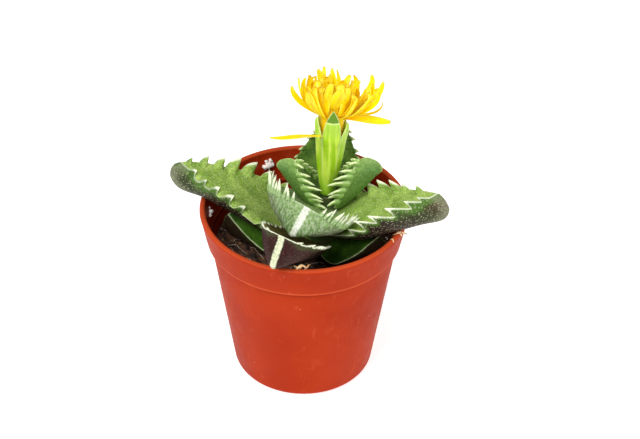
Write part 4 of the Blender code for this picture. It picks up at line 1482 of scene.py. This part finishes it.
class TIGERJAWS_PG_pot(bpy.types.PropertyGroup):
    """Sizes of the nursery pot."""

    rim_radius: metres("Rim radius", "Outer radius of the rim's lip", 0.0325)
    height: metres("Height", "Height of the rim above the surface it stands on", 0.060)
    band_height: metres("Band height", "Height of the band under the rim", 0.01125)
    band_step: metres("Band step", "How far the band stands out from the wall below", 0.0013)
    rim_lip: metres("Lip", "Width of the rim's rolled lip", 0.0018)
    under_band_radius: metres("Wall radius", "Outer radius of the wall just under the band", 0.0292)
    base_radius: metres("Base radius", "Outer radius above the rounded foot", 0.0224)
    base_edge: metres("Base edge", "Radius of the rounded edge at the foot", 0.0024)
    wall: metres("Wall", "Thickness of the wall", 0.0011)
    floor: metres("Floor", "Thickness of the floor", 0.0014)
    drain_holes: IntProperty(name="Drain holes", description="Holes in the floor", default=5, min=1)
    drain_radius: metres("Drain radius", "Radius of each drain hole", 0.00275)
    drain_ring: metres("Drain ring", "Radius of the ring that the holes lie on", 0.0135)


class TIGERJAWS_PG_soil(bpy.types.PropertyGroup):
    """Levels of the soil."""

    at_wall: metres("At the wall", "Height of the soil at the pot's wall", 0.0454)
    at_stem: metres("At the stem", "Height of the soil at the stem", 0.0436)
    crumbs: IntProperty(name="Crumbs", description="Crumbs that lie on the soil", default=1100, min=0)


class TIGERJAWS_PG_stage(bpy.types.PropertyGroup):
    """The floor and the light."""

    floor_reach: metres("Floor reach", "Half the width of the floor", 3.0)
    floor_colour: FloatVectorProperty(
        name="Floor colour", description="Colour of the floor", subtype="COLOR", default=(0.9, 0.9, 0.9)
    )
    floor_glow: FloatProperty(name="Floor glow", description="Light that the floor gives off", default=0.65)
    sky: FloatProperty(name="Sky", description="Strength of the light from all round", default=0.4)
    key: FloatProperty(name="Key light", description="Power of the soft key light", default=6.5, unit="POWER")
    fill: FloatProperty(
        name="Fill light", description="Power of the soft fill light", default=2.0, unit="POWER"
    )


# Operators


class TIGERJAWS_OT_pot(bpy.types.Operator):
    """Builds the pot's moulded shell"""

    bl_idname = "tigerjaws.pot"
    bl_label = "Pot"

    def execute(self, context):
        pot = context.scene.tigerjaws_pot
        make_pot(pot, pot_skin(pot))
        return {"FINISHED"}


class TIGERJAWS_OT_soil(bpy.types.Operator):
    """Builds the soil with its crumbs, roots and perlite, and the dry scraps at the rim"""

    bl_idname = "tigerjaws.soil"
    bl_label = "Soil"

    def execute(self, context):
        soil, pot = context.scene.tigerjaws_soil, context.scene.tigerjaws_pot
        make_soil(soil, pot, soil_skin())
        make_crumbs(soil, pot, crumb_skin())
        make_roots(soil, pot, litter_skin("roots", *ROOT_LOOK))
        make_perlite(soil, pot, litter_skin("perlite", *PERLITE_LOOK))
        make_scraps(litter_skin("dry_scraps", *SCRAP_LOOK))
        return {"FINISHED"}


class TIGERJAWS_OT_leaves(bpy.types.Operator):
    """Builds the stem and the toothed leaves"""

    bl_idname = "tigerjaws.leaves"
    bl_label = "Leaves"

    def execute(self, context):
        skins = {name: leaf_skin(name, look) for name, look in LOOKS.items()}
        make_stem(stem_skin())
        for number, leaf in enumerate(LEAVES):
            make_leaf(leaf, number, skins[leaf.look])
        return {"FINISHED"}


class TIGERJAWS_OT_calyx(bpy.types.Operator):
    """Builds the flower's green tube and sepals"""

    bl_idname = "tigerjaws.calyx"
    bl_label = "Calyx"

    def execute(self, context):
        make_calyx(calyx_skin())
        return {"FINISHED"}


class TIGERJAWS_OT_petals(bpy.types.Operator):
    """Builds the yellow petals and the anthers"""

    bl_idname = "tigerjaws.petals"
    bl_label = "Petals"

    def execute(self, context):
        make_corolla(petal_skin())
        make_anthers(anther_skin())
        return {"FINISHED"}


class TIGERJAWS_OT_stage(bpy.types.Operator):
    """Sets up the floor, the light and the camera"""

    bl_idname = "tigerjaws.stage"
    bl_label = "Stage"

    def execute(self, context):
        stage = context.scene.tigerjaws_stage
        make_camera()
        make_floor(stage)
        make_world(stage)
        make_light("key_light", KEY_PLACE, stage.key)
        make_light("fill_light", FILL_PLACE, stage.fill)
        context.scene.view_settings.view_transform = "Standard"
        return {"FINISHED"}


OPERATORS = (
    TIGERJAWS_OT_pot,
    TIGERJAWS_OT_soil,
    TIGERJAWS_OT_leaves,
    TIGERJAWS_OT_calyx,
    TIGERJAWS_OT_petals,
    TIGERJAWS_OT_stage,
)


class TIGERJAWS_PT_panel(bpy.types.Panel):
    """Lists the steps that build the plant"""

    bl_idname = "TIGERJAWS_PT_panel"
    bl_label = "Tiger Jaws"
    bl_space_type = "VIEW_3D"
    bl_region_type = "UI"
    bl_category = "Tiger Jaws"

    def draw(self, context):
        for settings in ("tigerjaws_pot", "tigerjaws_soil", "tigerjaws_stage"):
            group = getattr(context.scene, settings)
            box = self.layout.box()
            for name in group.bl_rna.properties.keys():
                if name not in ("rna_type", "name"):
                    box.prop(group, name)
        for operator in OPERATORS:
            self.layout.operator(operator.bl_idname)


CLASSES = (TIGERJAWS_PG_pot, TIGERJAWS_PG_soil, TIGERJAWS_PG_stage, *OPERATORS, TIGERJAWS_PT_panel)


def register():
    for item in CLASSES:
        bpy.utils.register_class(item)
    bpy.types.Scene.tigerjaws_pot = PointerProperty(type=TIGERJAWS_PG_pot)
    bpy.types.Scene.tigerjaws_soil = PointerProperty(type=TIGERJAWS_PG_soil)
    bpy.types.Scene.tigerjaws_stage = PointerProperty(type=TIGERJAWS_PG_stage)


def unregister():
    del bpy.types.Scene.tigerjaws_stage
    del bpy.types.Scene.tigerjaws_soil
    del bpy.types.Scene.tigerjaws_pot
    for item in reversed(CLASSES):
        bpy.utils.unregister_class(item)


def main():
    register()
    bpy.ops.tigerjaws.pot()
    bpy.ops.tigerjaws.soil()
    bpy.ops.tigerjaws.leaves()
    bpy.ops.tigerjaws.calyx()
    bpy.ops.tigerjaws.petals()
    bpy.ops.tigerjaws.stage()
    bpy.context.view_layer.update()
    boxes = {"cad": CAD_BOX, "visual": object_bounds()}
    {name: [list(corner) for corner in box] for name, box in boxes.items()}


if __name__ == "__main__":
    main()
